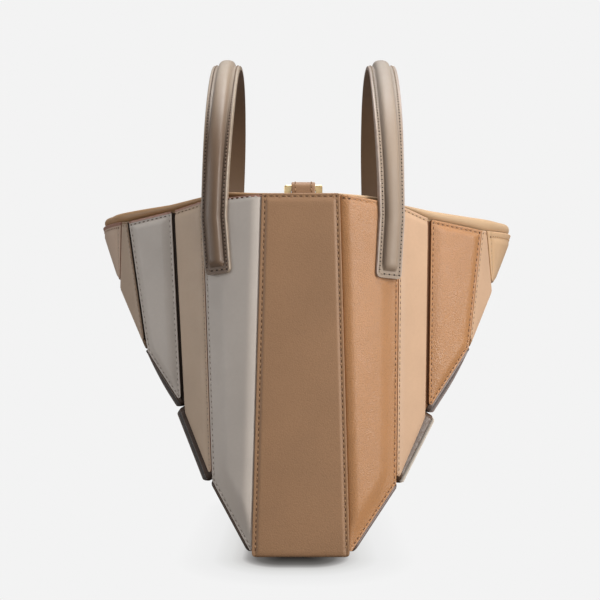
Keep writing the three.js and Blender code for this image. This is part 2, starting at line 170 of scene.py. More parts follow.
def paperSweep():
    # pale paper, evenly lit, with a painted shadow that is darker only where the bag stands close to it
    sheet = bpy.data.materials.new("paperSweep")
    sheet.use_nodes = True
    tree = sheet.node_tree
    tree.nodes.remove(tree.nodes["Principled BSDF"])
    place = tree.nodes.new("ShaderNodeTexCoord").outputs["Object"]

    def vectorStep(operation, first, second=None):
        node = tree.nodes.new("ShaderNodeVectorMath")
        node.operation = operation
        tree.links.new(first, node.inputs[0])
        if second:
            node.inputs[1].default_value = second
        return node.outputs["Value" if operation == "LENGTH" else "Vector"]

    fromMiddle = vectorStep("ABSOLUTE", vectorStep("ADD", place, paintedShadowSet["centre"]))
    beyond = vectorStep("MAXIMUM", vectorStep("SUBTRACT", fromMiddle, paintedShadowSet["foot"]), (0, 0, 0))
    scaled = vectorStep("MULTIPLY", beyond, (1 / paintedShadowSet["across"], 1 / paintedShadowSet["ahead"], 0))
    share = span(tree, vectorStep("LENGTH", scaled), 0, 1, 0, paintedShadowSet["reach"])
    ramp = tree.nodes.new("ShaderNodeValToRGB")
    stops = ramp.color_ramp.elements
    while len(stops) < len(paintedShadowSet["tones"]):
        stops.new(0.5)
    for stop, (distance, tone) in zip(stops, paintedShadowSet["tones"]):
        stop.position = distance / paintedShadowSet["reach"]
        stop.color = linear(tone)
    tree.links.new(share, ramp.inputs["Fac"])
    glow = tree.nodes.new("ShaderNodeEmission")
    tree.links.new(ramp.outputs["Color"], glow.inputs["Color"])
    matte = tree.nodes.new("ShaderNodeBsdfDiffuse")
    matte.inputs["Color"].default_value = linear(stageSet["bounce"])
    seenOrLit(tree, matte.outputs[0], glow.outputs[0], "Material Output")
    return sheet


def makeFloor():
    reach = stageSet["floorSize"] / 2
    level = cadBox[0][2] - stageSet["floorBelow"]
    corners = [(x * reach, y * reach, level) for x, y in ((-1, -1), (1, -1), (1, 1), (-1, 1))]
    mesh = bpy.data.meshes.new("floor")
    mesh.from_pydata(corners, [], [(0, 1, 2, 3)])
    mesh.materials.append(paperSweep())
    floor = bpy.data.objects.new("floor", mesh)
    scene.collection.objects.link(floor)


# leathers, painted edges, thread and metal
leatherLooks = {
    "tan": {"colour": "977354", "grain": 1.0, "bump": 0.34, "rough": 0.48},
    "grey": {"colour": "bab1a9", "grain": 0.7, "bump": 0.08, "rough": 0.46},
    "caramel": {"colour": "b17d4e", "grain": 0.95, "bump": 0.75, "rough": 0.4, "shine": 0.65},
    "taupe": {"colour": "b9a28c", "grain": 0.7, "bump": 0.1, "rough": 0.5},
    "cream": {"colour": "ae9986", "grain": 0.7, "bump": 0.1, "rough": 0.5},
    "lightTan": {"colour": "c5a386", "grain": 0.7, "bump": 0.1, "rough": 0.48},
    "honey": {"colour": "cda984", "grain": 0.8, "bump": 0.16, "rough": 0.5},
    "sand": {"colour": "bc9d7b", "grain": 0.6, "bump": 0.14, "rough": 0.6},
    "faceTaupe": {"colour": "bea693", "grain": 0.7, "bump": 0.1, "rough": 0.5},
    # brown: the sand facing leather darkened as painted shade, for the left facing away from the key light
    "brown": {"colour": "a27d57", "grain": 0.7, "bump": 0.12, "rough": 0.5},
    # slabs under the strips: shadedSlab is the slab leather darkened as painted shade on the left, away from
    # the key light; the "seam" tone of all three deepens their painted crease shade
    "shadedSlab": {"colour": "5f4e41", "grain": 0.8, "bump": 0.15, "rough": 0.5, "seam": 0.1},
    "mauveSlab": {"colour": "93807a", "grain": 0.8, "bump": 0.25, "rough": 0.5, "seam": 0.1},
    "paleSlab": {"colour": "dccdbd", "grain": 0.8, "bump": 0.3, "rough": 0.5, "seam": 0.1},
    # handles: shadedLeftHandle is the right handle's leather, edge paint and thread darkened as painted shade
    # on the side away from the key light; the "worn" colours of both are painted light at the crown
    "shadedLeftHandle": {"colour": "68523f", "grain": 0.6, "bump": 0.08, "rough": 0.44, "shine": 0.55,
                   "sheen": 0.15, "worn": "92816f"},
    "rightHandle": {"colour": "9a8877", "grain": 0.6, "bump": 0.08, "rough": 0.5, "shine": 0.36,
                    "worn": "988c81"},
    "lining": {"colour": "725b47", "grain": 0.6, "bump": 0.1, "rough": 0.5},
    "suede": {"colour": "8b6c50", "grain": 0.5, "bump": 0.5, "rough": 0.85},
    # seam shades: dark sheets for the inner skin and the seam walls, painted shade seen in the gaps between
    # panels
    "seamShadeDark": {"colour": "33261e", "grain": 0.5, "bump": 0.3, "rough": 0.9},
    "seamShadeWarm": {"colour": "6b4426", "grain": 0.5, "bump": 0.3, "rough": 0.9},
}
# edge paints; those of shadedSlab and paleSlab are dark, as painted shade at the step between a slab and its
# flange
paintLooks = {
    "tan": "96704f", "grey": "946b5b", "caramel": "b07a4e", "taupe": "946b5a", "cream": "8a7058",
    "lightTan": "b98f68", "honey": "b48a62", "faceTaupe": "966f60", "shadedSlab": "43332a",
    "mauveSlab": "5f504a", "paleSlab": "4f3826", "shadedLeftHandle": "998978", "rightHandle": "a8968a",
}
threadLooks = {
    "tan": "a07a56", "grey": "c6bcb4", "caramel": "b98555", "taupe": "b79e88", "cream": "b8a18c",
    "lightTan": "c9a57e", "honey": "c29a72", "faceTaupe": "b79b86", "shadedLeftHandle": "7a6553",
    "rightHandle": "9a8774",
}
# needle holes: small discs coloured dark as painted shade in the holes; size scales the disc
holeShadeLooks = {
    "needleHole": {"dark": "3a1e0b", "pale": "57351a", "size": 1.0},
    "softHole": {"dark": "766a62", "pale": "8f827a", "size": 0.75},
    "darkHole": {"dark": "1f130c", "pale": "35241a", "size": 0.9},
    "fineHole": {"dark": "55361d", "pale": "6f4b2c", "size": 0.75},
}
# sizes of the marks in mm, and the tones and shares of each over the plain colour or shine
leatherSet = {"cloud": 55, "cloudTones": (0.93, 1.06), "mottle": 3.2, "mottleShare": 0.16, "mottleTone": 0.8,
              "pebbleSoft": 0.6, "creviceShare": 0.55, "creviceSpan": (0.3, 0.8), "creviceTone": 0.62,
              "creaseShadeTone": 0.42, "wornTone": 1.22, "gloss": 9, "roughSpan": (-0.05, 0.07), "shine": 0.42,
              "sheen": 0.06, "fineShare": 0.5, "bumpDepth": 0.3}
paintSet = {"patch": 4, "tones": (0.82, 1.1), "gloss": 2, "rough": (0.3, 0.48), "grain": 0.9, "bump": 0.25,
            "bumpDepth": 0.2}
threadSet = {"fibre": 1.2, "tones": (0.8, 1.12), "rough": 0.6, "twist": 900, "bump": 0.4, "bumpDepth": 0.1}
holeSet = {"patch": 2, "rough": 0.85}
goldSet = {"dark": "dcb475", "pale": "f4dcaa", "cloud": 14, "gloss": 6, "rough": (0.32, 0.38), "grain": 4,
           "bump": 0.01, "bumpDepth": 0.05}
materials = {}


def blankMaterial(name):
    material = bpy.data.materials.new(name)
    material.use_nodes = True
    materials[name] = material
    tree = material.node_tree
    return tree, tree.nodes["Principled BSDF"], tree.nodes.new("ShaderNodeTexCoord").outputs["Object"]


def noise(tree, place, size, detail=3.0):
    node = tree.nodes.new("ShaderNodeTexNoise")
    node.inputs["Scale"].default_value = 1.0 / (size * mm)
    node.inputs["Detail"].default_value = detail
    tree.links.new(place, node.inputs["Vector"])
    return node.outputs["Fac"]


def span(tree, value, low, high, fromLow=0.3, fromHigh=0.7):
    node = tree.nodes.new("ShaderNodeMapRange")
    node.inputs["From Min"].default_value = fromLow
    node.inputs["From Max"].default_value = fromHigh
    node.inputs["To Min"].default_value = low
    node.inputs["To Max"].default_value = high
    tree.links.new(value, node.inputs["Value"])
    return node.outputs["Result"]


def blendColour(tree, factor, first, second, way="MIX"):
    node = tree.nodes.new("ShaderNodeMix")
    node.data_type = "RGBA"
    node.blend_type = way
    tree.links.new(factor, node.inputs["Factor"])
    for socket, colour in (("A", first), ("B", second)):
        if isinstance(colour, tuple):
            node.inputs[socket].default_value = colour
        else:
            tree.links.new(colour, node.inputs[socket])
    return node.outputs["Result"]


def field(tree, name):
    node = tree.nodes.new("ShaderNodeAttribute")
    node.attribute_name = name
    return node.outputs["Fac"]


def bumped(tree, shader, height, strength, depth):
    node = tree.nodes.new("ShaderNodeBump")
    node.inputs["Strength"].default_value = strength
    node.inputs["Distance"].default_value = depth * mm
    tree.links.new(height, node.inputs["Height"])
    tree.links.new(node.outputs["Normal"], shader.inputs["Normal"])


def leather(name, look):
    tree, shader, place = blankMaterial(name)
    colour = look["colour"]
    dark, pale = leatherSet["cloudTones"]
    cloud = noise(tree, place, leatherSet["cloud"], 2.0)
    base = blendColour(tree, span(tree, cloud, 0, 1), linear(colour, dark), linear(colour, pale))
    mottle = span(tree, noise(tree, place, leatherSet["mottle"], 4.0), 0, leatherSet["mottleShare"])
    base = blendColour(tree, mottle, base, linear(colour, leatherSet["mottleTone"]))
    pebble = tree.nodes.new("ShaderNodeTexVoronoi")
    pebble.feature = "SMOOTH_F1"
    pebble.inputs["Scale"].default_value = 1.0 / (look["grain"] * mm)
    pebble.inputs["Smoothness"].default_value = leatherSet["pebbleSoft"]
    tree.links.new(place, pebble.inputs["Vector"])
    creviceMost = leatherSet["creviceShare"] * look["bump"]
    crevice = span(tree, pebble.outputs["Distance"], 0, creviceMost, *leatherSet["creviceSpan"])
    base = blendColour(tree, crevice, base, linear(colour, leatherSet["creviceTone"]))
    # painted shade in creases, stitch grooves and pressed lines, deepest where a look sets its own "seam"
    # tone
    seam = linear(colour, look.get("seam", leatherSet["creaseShadeTone"]))
    base = blendColour(tree, field(tree, "creaseShade"), base, seam)
    # wear pales the panels' edges; on the handles the same attribute carries painted light, paler towards the
    # crown, in their "worn" colours
    worn = linear(look["worn"]) if "worn" in look else linear(colour, leatherSet["wornTone"])
    base = blendColour(tree, field(tree, "wearAndCrownLight"), base, worn)
    tree.links.new(base, shader.inputs["Base Color"])
    gloss = noise(tree, place, leatherSet["gloss"])
    rough = [look["rough"] + change for change in leatherSet["roughSpan"]]
    tree.links.new(span(tree, gloss, *rough), shader.inputs["Roughness"])
    shader.inputs["Specular IOR Level"].default_value = look.get("shine", leatherSet["shine"])
    shader.inputs["Sheen Weight"].default_value = look.get("sheen", leatherSet["sheen"])
    fine = noise(tree, place, look["grain"] * leatherSet["fineShare"], 2.0)
    sumUp = tree.nodes.new("ShaderNodeMath")
    sumUp.operation = "MULTIPLY_ADD"
    sumUp.inputs[1].default_value = -1.0
    tree.links.new(pebble.outputs["Distance"], sumUp.inputs[0])
    tree.links.new(fine, sumUp.inputs[2])
    bumped(tree, shader, sumUp.outputs[0], look["bump"], leatherSet["bumpDepth"])


def edgePaint(name, colour):
    tree, shader, place = blankMaterial(name)
    dark, pale = paintSet["tones"]
    patch = span(tree, noise(tree, place, paintSet["patch"], 4.0), 0, 1)
    base = blendColour(tree, patch, linear(colour, dark), linear(colour, pale))
    tree.links.new(base, shader.inputs["Base Color"])
    gloss = noise(tree, place, paintSet["gloss"], 2.0)
    tree.links.new(span(tree, gloss, *paintSet["rough"]), shader.inputs["Roughness"])
    bumped(tree, shader, noise(tree, place, paintSet["grain"]), paintSet["bump"], paintSet["bumpDepth"])


def thread(name, colour):
    tree, shader, place = blankMaterial(name)
    dark, pale = threadSet["tones"]
    fibre = span(tree, noise(tree, place, threadSet["fibre"]), 0, 1)
    base = blendColour(tree, fibre, linear(colour, dark), linear(colour, pale))
    tree.links.new(base, shader.inputs["Base Color"])
    shader.inputs["Roughness"].default_value = threadSet["rough"]
    twist = tree.nodes.new("ShaderNodeTexWave")
    twist.bands_direction = "DIAGONAL"
    twist.inputs["Scale"].default_value = threadSet["twist"]
    tree.links.new(place, twist.inputs["Vector"])
    bumped(tree, shader, twist.outputs["Fac"], threadSet["bump"], threadSet["bumpDepth"])


def needleHole(name, dark, pale):
    tree, shader, place = blankMaterial(name)
    patch = noise(tree, place, holeSet["patch"], 2.0)
    tree.links.new(blendColour(tree, patch, linear(dark), linear(pale)), shader.inputs["Base Color"])
    shader.inputs["Roughness"].default_value = holeSet["rough"]


def goldMetal(name):
    tree, shader, place = blankMaterial(name)
    cloud = span(tree, noise(tree, place, goldSet["cloud"], 2.0), 0, 1)
    base = blendColour(tree, cloud, linear(goldSet["dark"]), linear(goldSet["pale"]))
    tree.links.new(base, shader.inputs["Base Color"])
    shader.inputs["Metallic"].default_value = 1.0
    gloss = noise(tree, place, goldSet["gloss"], 2.0)
    tree.links.new(span(tree, gloss, *goldSet["rough"]), shader.inputs["Roughness"])
    bumped(tree, shader, noise(tree, place, goldSet["grain"], 2.0), goldSet["bump"], goldSet["bumpDepth"])


makeCamera()
makeLights()
makeWorld()
makeFloor()
print("stage: camera, lights and floor")
for lookName, lookValues in leatherLooks.items():
    leather(lookName, lookValues)
for lookName, lookColour in paintLooks.items():
    edgePaint(lookName + "Edge", lookColour)
for lookName, lookColour in threadLooks.items():
    thread(lookName + "Thread", lookColour)
for lookName, lookValues in holeShadeLooks.items():
    needleHole(lookName, lookValues["dark"], lookValues["pale"])
goldMetal("gold")
print("materials:", len(materials))


# a shape is gathered as points, faces, each face's material, and at each point its wear (painted light on the
# handles' crowns) and its painted crease shade
class Shape:
    def __init__(self, *looks):
        self.looks = list(looks)
        self.points = []
        self.faces = []
        self.slots = []
        self.fields = {"wearAndCrownLight": [], "creaseShade": []}
        self.count = 0

    def add(self, points, faces, look, wearAndCrownLight=None, creaseShade=None):
        points = np.asarray(points, float).reshape(-1, 3)
        start = self.count
        self.points.append(points)
        self.count += len(points)
        for name, values in (("wearAndCrownLight", wearAndCrownLight), ("creaseShade", creaseShade)):
            self.fields[name].append(np.zeros(len(points)) if values is None else np.asarray(values, float))
        self.addFaces(faces, look, start)
        return start

    def addFaces(self, faces, look, start=0):
        if look not in self.looks:
            self.looks.append(look)
        self.faces += [tuple(int(i) + start for i in face) for face in faces]
        self.slots += [self.looks.index(look)] * len(faces)

    def build(self, name, body="bag", nodes=(), sharp=38):
        mesh = bpy.data.meshes.new(name)
        mesh.from_pydata((np.concatenate(self.points) * mm).tolist(), [], self.faces)
        for look in self.looks:
            mesh.materials.append(materials[look])
        mesh.polygons.foreach_set("material_index", self.slots)
        for label, values in self.fields.items():
            mesh.attributes.new(label, "FLOAT", "POINT").data.foreach_set("value", np.concatenate(values))
        mesh.shade_smooth()
        mesh.set_sharp_from_angle(angle=math.radians(sharp))
        mesh.update()
        made = bpy.data.objects.new(name, mesh)
        scene.collection.objects.link(made)
        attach(made, body)
        if nodes:
            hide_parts(*nodes)
        return made


def tube(rows, columns, closeRows=False, closeColumns=True):
    # quads of a grid of points, row after row
    faces = []
    for i in range(rows if closeRows else rows - 1):
        for j in range(columns if closeColumns else columns - 1):
            a = i * columns + j
            b = i * columns + (j + 1) % columns
            c = ((i + 1) % rows) * columns + (j + 1) % columns
            d = ((i + 1) % rows) * columns + j
            faces.append((a, b, c, d))
    return faces


def tubeCaps(rows, columns):
    return [tuple(range(columns))[::-1], tuple(range((rows - 1) * columns, rows * columns))]


def gridWalls(rows, columns, front, back):
    # quads that join the borders of two grids of points
    border = [i * columns for i in range(rows)] + [(rows - 1) * columns + j for j in range(1, columns)]
    border += [i * columns + columns - 1 for i in range(rows - 2, -1, -1)] + list(range(columns - 2, 0, -1))
    return [(front + a, front + b, back + b, back + a) for a, b in zip(border, border[1:] + border[:1])]


# stitches: a row of short threads, each pair sharing a needle hole, drawn as a dark disc of painted shade
stitchSet = {"pitch": 4.4, "long": 2.35, "wide": 0.52, "high": 0.36, "sink": 0.14, "sides": 6, "steps": 5,
             "blunt": 4, "tip": 0.06, "archTop": 0.9, "archFall": 0.8, "holeLong": 1.02, "holeWide": 0.72,
             "holeUp": 0.05, "holeSides": 8}


def stitchRow(shape, places, alongs, outs, threadLook, pitch=stitchSet["pitch"], hole="needleHole"):
    scale = pitch / stitchSet["pitch"]
    reach = scale * stitchSet["long"] / 2
    wide, high = stitchSet["wide"], stitchSet["high"]
    holeLong = stitchSet["holeLong"] * holeShadeLooks[hole]["size"]
    holeWide = stitchSet["holeWide"] * holeShadeLooks[hole]["size"]
    holeUp = stitchSet["holeUp"]
    sides = stitchSet["sides"]
    station = np.linspace(-1, 1, stitchSet["steps"])
    girth = np.sqrt(np.clip(1 - station ** stitchSet["blunt"], stitchSet["tip"], 1))
    angle = np.linspace(0, 2 * math.pi, sides, endpoint=False)
    threadFaces = tube(len(station), sides) + tubeCaps(len(station), sides)
    holeSides = stitchSet["holeSides"]
    holeAngle = np.linspace(0, 2 * math.pi, holeSides, endpoint=False)
    holeFaces = [(0, 1 + i, 1 + (i + 1) % holeSides) for i in range(holeSides)]
    for at, along, out in zip(places, alongs, outs):
        side = np.cross(along, out)
        body = []
        for s, g in zip(station, girth):
            arch = high * (stitchSet["archTop"] - stitchSet["archFall"] * s * s) - stitchSet["sink"]
            middle = at + along * s * reach + out * arch
            body += [middle + g * (side * math.cos(a) * wide + out * math.sin(a) * high) for a in angle]
        shape.add(body, threadFaces, threadLook)
        centre = at + along * pitch / 2 + out * holeUp
        rim = [centre + along * math.cos(a) * scale * holeLong - side * math.sin(a) * holeWide + out * holeUp
               for a in holeAngle]
        shape.add([centre] + rim, holeFaces, hole)


# panels: flat leather with a finish along each edge and padding between them
# in mm: how far the edge is set back, its radius, the flat margin and the padding's rise beside it,
# and how far in the stitches, the painted band and the pressed line lie
edgeFinish = {
    "sewn": {"back": 0.5, "round": 0.5, "margin": 3.0, "rise": 5.5, "stitch": 1.9},
    "sewnBack": {"back": 1.4, "round": 0.5, "margin": 3.4, "rise": 5.5, "stitch": 2.6, "paint": 2.0,
                 "seam": True},
    "sewnWide": {"back": 1.2, "round": 0.5, "margin": 3.0, "rise": 6.5, "stitch": 1.9, "seam": True},
    "rim": {"back": 0.0, "round": 0.6, "margin": 3.6, "rise": 4.5, "stitch": 2.5, "bold": True, "ease": 0},
    "paintedRim": {"back": 0.0, "round": 0.8, "margin": 4.0, "rise": 4.5, "stitch": 3.3, "paint": 2.0,
                   "bold": True},
    "tightRim": {"back": 0.0, "round": 0.6, "margin": 2.2, "rise": 3.0, "stitch": 1.3, "paint": 1.7,
                 "bold": True, "ease": 0},
    "gussetSide": {"back": 0.15, "round": 0.7, "margin": 3.5, "rise": 2.0, "stitch": 2.6, "bold": True},
    "gussetFoot": {"back": 0.0, "round": 2.4, "margin": 0.0, "rise": 5.0},
    "valley": {"back": 1.5, "round": 0.6, "margin": 3.1, "rise": 7.5, "stitch": 2.0, "seam": True},
    "rolled": {"back": 1.4, "round": 2.6, "margin": 0.0, "rise": 4.0, "seam": True},
    "tucked": {"back": 0.1, "round": 0.8, "margin": 0.0, "rise": 5.0, "swell": 4.0},
    "plain": {"back": 0.25, "round": 0.6, "margin": 0.0, "rise": 5.0},
    "slab": {"back": 0.2, "round": 1.6, "margin": 0.6, "rise": 3.2},
    "slabFoot": {"back": 2.0, "round": 2.5, "margin": 0.6, "rise": 5.0},
    "slabTaper": {"back": 0.2, "round": 0.6, "margin": 0.0, "rise": 42.0},
    "slabEnd": {"back": 0.2, "round": 0.6, "margin": 3.0, "rise": 1.4, "line": 3.2},
    # its painted band darkens the flange as painted shade at the step onto the slab
    "shadedFlangeEnd": {"back": 0.2, "round": 0.6, "margin": 3.0, "rise": 1.4, "line": 3.2, "paint": 3.2},
    "baseSide": {"back": 0.25, "round": 2.6, "margin": 0.0, "rise": 5.0},
}
for finish in edgeFinish.values():
    for key in ("stitch", "paint", "swell", "line", "bold", "seam"):
        finish.setdefault(key, 0)
    finish.setdefault("ease", 16.0)
# swelling beside a tucked edge, dome of the whole panel, stitch grooves and pressed lines with painted shade
# in them, and worn edges
reliefSet = {"swellWide": 8.0, "swellFade": 48.0, "domeReach": 14.0, "ripple": 0.06,
             "rippleLong": (11.0, 17.0), "rippleStart": (1.3, 0.4), "grooveWide": 0.75, "grooveDeep": 0.35,
             "grooveShade": 0.18, "lineWide": 0.7, "lineDeep": 0.5, "wornAt": 0.4, "wornWide": 0.5,
             "wornShare": 0.35}
softLooks = ("grey", "taupe", "cream", "faceTaupe")
panelMesh = {"step": 3.4, "near": (0.5, 1.2, 2.1, 3.3, 5.0, 7.2), "nearMost": 0.3, "nearElse": 0.25,
             "deepest": 9.0, "shrink": 0.9, "leastSide": 0.12, "roundest": 0.85, "bareCorner": 1.5,
             "stitchElse": 1.6,
             "rings": (0, 0.12, 0.3, 0.5, 0.9, 1.5, 1.9, 2.3, 2.8, 3.2, 3.6, 4.1, 4.7, 5.4, 6.2, 7.3, 9.0)}


def edgesOf(corners):
    return np.roll(corners, -1, axis=0) - corners


def inwardOf(corners):
    along = unit(edgesOf(corners))
    return np.stack([-along[:, 1], along[:, 0]], axis=1)


def insetCorners(corners, depths):
    # corners of a flat outline after each of its edges has moved in by its own depth
    inward = inwardOf(corners)
    level = np.sum(inward * corners, axis=1) + np.asarray(depths, float)
    return np.array([np.linalg.solve(inward[[i - 1, i]], level[[i - 1, i]]) for i in range(len(corners))])


def spread(length, step):
    # shares along an edge, closer together beside its corners
    most = length * panelMesh["nearMost"]
    ends = [d for d in panelMesh["near"] if d < most] or [length * panelMesh["nearElse"]]
    count = max(int((length - 2 * ends[-1]) / step), 2) + 1
    middle = np.linspace(ends[-1], length - ends[-1], count)
    at = np.concatenate(([0], ends[:-1], middle, [length - d for d in reversed(ends[:-1])], [length]))
    return at / length


def panelHeight(flat, inward, level, finishes, puff, crown):
    # how far the leather stands over the panel's plane, the painted shade in its grooves and pressed lines,
    # and how worn it is there
    padding, dome, ease = np.ones((3, len(flat)))
    swell, drop, groove, line, worn = np.zeros((5, len(flat)))
    for k, finish in enumerate(finishes):
        depth = flat @ inward[k] - level[k]
        padding *= np.sin(np.clip((depth - finish["margin"]) / finish["rise"], 0, 1) * math.pi / 2)
        dome *= 1 - np.exp(-np.maximum(depth, 0) / reliefSet["domeReach"])
        bend = np.clip(1 - depth / finish["round"], 0, 1)
        drop = np.maximum(drop, finish["round"] * rollOff(bend))
        worn = np.maximum(worn, bell(depth, reliefSet["wornAt"], reliefSet["wornWide"]))
        if finish["swell"]:
            wide = reliefSet["swellWide"]
            swell = finish["swell"] * (1 - (1 - np.clip(depth / wide, 0, 1)) ** 2)
            swell *= bell(np.maximum(depth - wide, 0), 0, reliefSet["swellFade"])
        elif finish["ease"]:
            ease *= smooth((depth - finish["margin"]) / finish["ease"])
        if finish["stitch"]:
            groove = np.maximum(groove, bell(depth, finish["stitch"], reliefSet["grooveWide"]))
        if finish["line"]:
            line = np.maximum(line, bell(depth, finish["line"], reliefSet["lineWide"]))
    waveX, waveY = np.sin(flat / reliefSet["rippleLong"] + reliefSet["rippleStart"]).T
    ripple = reliefSet["ripple"] * waveX * waveY
    height = puff * padding + swell * ease + (crown + ripple) * dome - drop
    height = height - reliefSet["grooveDeep"] * groove - reliefSet["lineDeep"] * line
    return height, np.maximum(reliefSet["grooveShade"] * groove, line), reliefSet["wornShare"] * worn


def deepestRing(outline):
    # depth of the deepest ring that still has four proper sides
    edges = edgesOf(outline)
    sides = np.linalg.norm(edges, axis=1)
    deepest = panelMesh["deepest"]
    while True:
        kept = np.sum(edgesOf(insetCorners(outline, [deepest] * 4)) * edges, axis=1) / sides
        if np.all(kept > panelMesh["leastSide"] * sides):
            return deepest
        deepest *= panelMesh["shrink"]


def panelRing(outline, depth, shares, radii):
    # points round the panel at one depth, on arcs where its corners are round
    quad = insetCorners(outline, [depth] * 4)
    centres = [insetCorners(outline, [r] * 4)[k] for k, r in enumerate(radii)]
    ring = []
    for k in range(4):
        start, end = quad[k], quad[(k + 1) % 4]
        along = unit(end - start)
        points = start + (end - start) * shares[k][:-1, None]
        for corner, way in ((k, -along), ((k + 1) % 4, along)):
            away = points - centres[corner]
            past = (away @ way > 0) & (depth < radii[corner])
            points[past] = centres[corner] + unit(away[past]) * (radii[corner] - depth)
        ring.append(points)
    return np.concatenate(ring)


def flatPanel(shape, corners, outside, finishes, look, puff=0.0, crown=0.3, lift=0.0, thick=2.6, radius=2.0,
              threadLook=None, seamLook=None, tilt=0.0):
    corners = np.array(corners, float)
    normal = unit(np.cross(corners[1] - corners[0], corners[2] - corners[0]))
    radii = np.broadcast_to(np.array(radius, float), 4)
    tiltEdge = 0
    if np.dot(normal, outside) < 0:
        corners = corners[[0, 3, 2, 1]]
        radii = radii[[0, 3, 2, 1]]
        finishes = [finishes[3], finishes[2], finishes[1], finishes[0]]
        tiltEdge = 3
        normal = -normal
    finishes = [edgeFinish[name] for name in finishes]
    axisX = unit(corners[1] - corners[0])
    axisY = np.cross(normal, axisX)
    origin = corners.mean(axis=0)
    flat = np.stack([(corners - origin) @ axisX, (corners - origin) @ axisY], axis=1)
    outline = insetCorners(flat, [f["back"] for f in finishes])
    inward = inwardOf(flat)
    level = np.sum(inward * outline, axis=1)
    sides = np.linalg.norm(edgesOf(outline), axis=1)

    def lay(plan, height):
        return origin + plan[:, :1] * axisX + plan[:, 1:] * axisY + np.reshape(height, (-1, 1)) * normal

    deepest = deepestRing(outline)
    depths = np.array(panelMesh["rings"]) * deepest / panelMesh["deepest"]
    radii = np.minimum(radii, panelMesh["roundest"] * deepest)
    long = spread((sides[0] + sides[2]) / 2, panelMesh["step"])
    wide = spread((sides[1] + sides[3]) / 2, panelMesh["step"])
    shares = [long, wide, long, wide]
    rings = [panelRing(outline, depth, shares, radii) for depth in depths]
    around = len(rings[0])
    rows, columns = len(long) - 1, len(wide) - 1
    quad = insetCorners(outline, [depths[-1]] * 4)
    s, t = np.meshgrid(long[1:-1], wide[1:-1], indexing="ij")
    s, t = s.reshape(-1, 1), t.reshape(-1, 1)
    middle = lerp(lerp(quad[0], quad[1], s), lerp(quad[3], quad[2], s), t)
    plan = np.concatenate(rings + [middle])
    height, creaseShade, wearAndCrownLight = panelHeight(plan, inward, level, finishes, puff, crown)
    if tilt:
        far = plan @ inward[tiltEdge] - level[tiltEdge]
        height = height + tilt * (2 * far / far.max() - 1)
    faces = []
    painted = []
    margins = [f["paint"] for f in finishes]
    for k in range(len(depths) - 1):
        for r in range(around):
            face = (k * around + r, k * around + (r + 1) % around, (k + 1) * around + (r + 1) % around,
                    (k + 1) * around + r)
            centre = plan[list(face)].mean(axis=0)
            inPaint = any(m and centre @ inward[e] - level[e] < m for e, m in enumerate(margins))
            (painted if inPaint else faces).append(face)

    lastRing = (len(depths) - 1) * around
    middleStart = len(depths) * around

    def at(i, j):
        if j == 0:
            return lastRing + i
        if i == rows:
            return lastRing + rows + j
        if j == columns:
            return lastRing + rows + columns + (rows - i)
        if i == 0:
            return lastRing + 2 * rows + columns + (columns - j)
        return middleStart + (i - 1) * (columns - 1) + j - 1

    for i in range(rows):
        faces += [(at(i, j), at(i + 1, j), at(i + 1, j + 1), at(i, j + 1)) for j in range(columns)]
    begin = shape.add(lay(plan, height + lift), faces, look, wearAndCrownLight, creaseShade)
    edgeLook = look + "Edge"
    shape.addFaces(painted, edgeLook, begin)
    low = shape.add(lay(rings[0], -thick), [tuple(range(around))[::-1]], "suede")
    edgeOf = np.repeat(range(4), [len(share) - 1 for share in shares])
    # walls of seam edges take the painted seam shade, the others their edge paint
    for r in range(around):
        wall = (low + r, low + (r + 1) % around, begin + (r + 1) % around, begin + r)
        shape.addFaces([wall], seamLook if finishes[edgeOf[r]]["seam"] else edgeLook)

    if threadLook:
        seam = insetCorners(outline, [f["stitch"] or panelMesh["stitchElse"] for f in finishes])
        for k, finish in enumerate(finishes):
            if not finish["stitch"]:
                continue
            start, end = seam[k], seam[(k + 1) % 4]
            length = np.linalg.norm(end - start)
            count = max(int(length / stitchSet["pitch"]), 1)
            share = (np.arange(count) + 0.5) / count
            skipHead, skipTail = radii[[k, (k + 1) % 4]] - panelMesh["bareCorner"]
            share = share[(share * length > skipHead) & ((1 - share) * length > skipTail)]
            places = start + (end - start) * share[:, None]
            rise = panelHeight(places, inward, level, finishes, puff, crown)[0] + lift
            along = (end - start) / length
            way = along[0] * axisX + along[1] * axisY
            spots = lay(places, rise)
            hole = "softHole" if look in softLooks and not finish["bold"] else "needleHole"
            stitchRow(shape, spots, [way] * len(spots), [normal] * len(spots), threadLook, hole=hole)


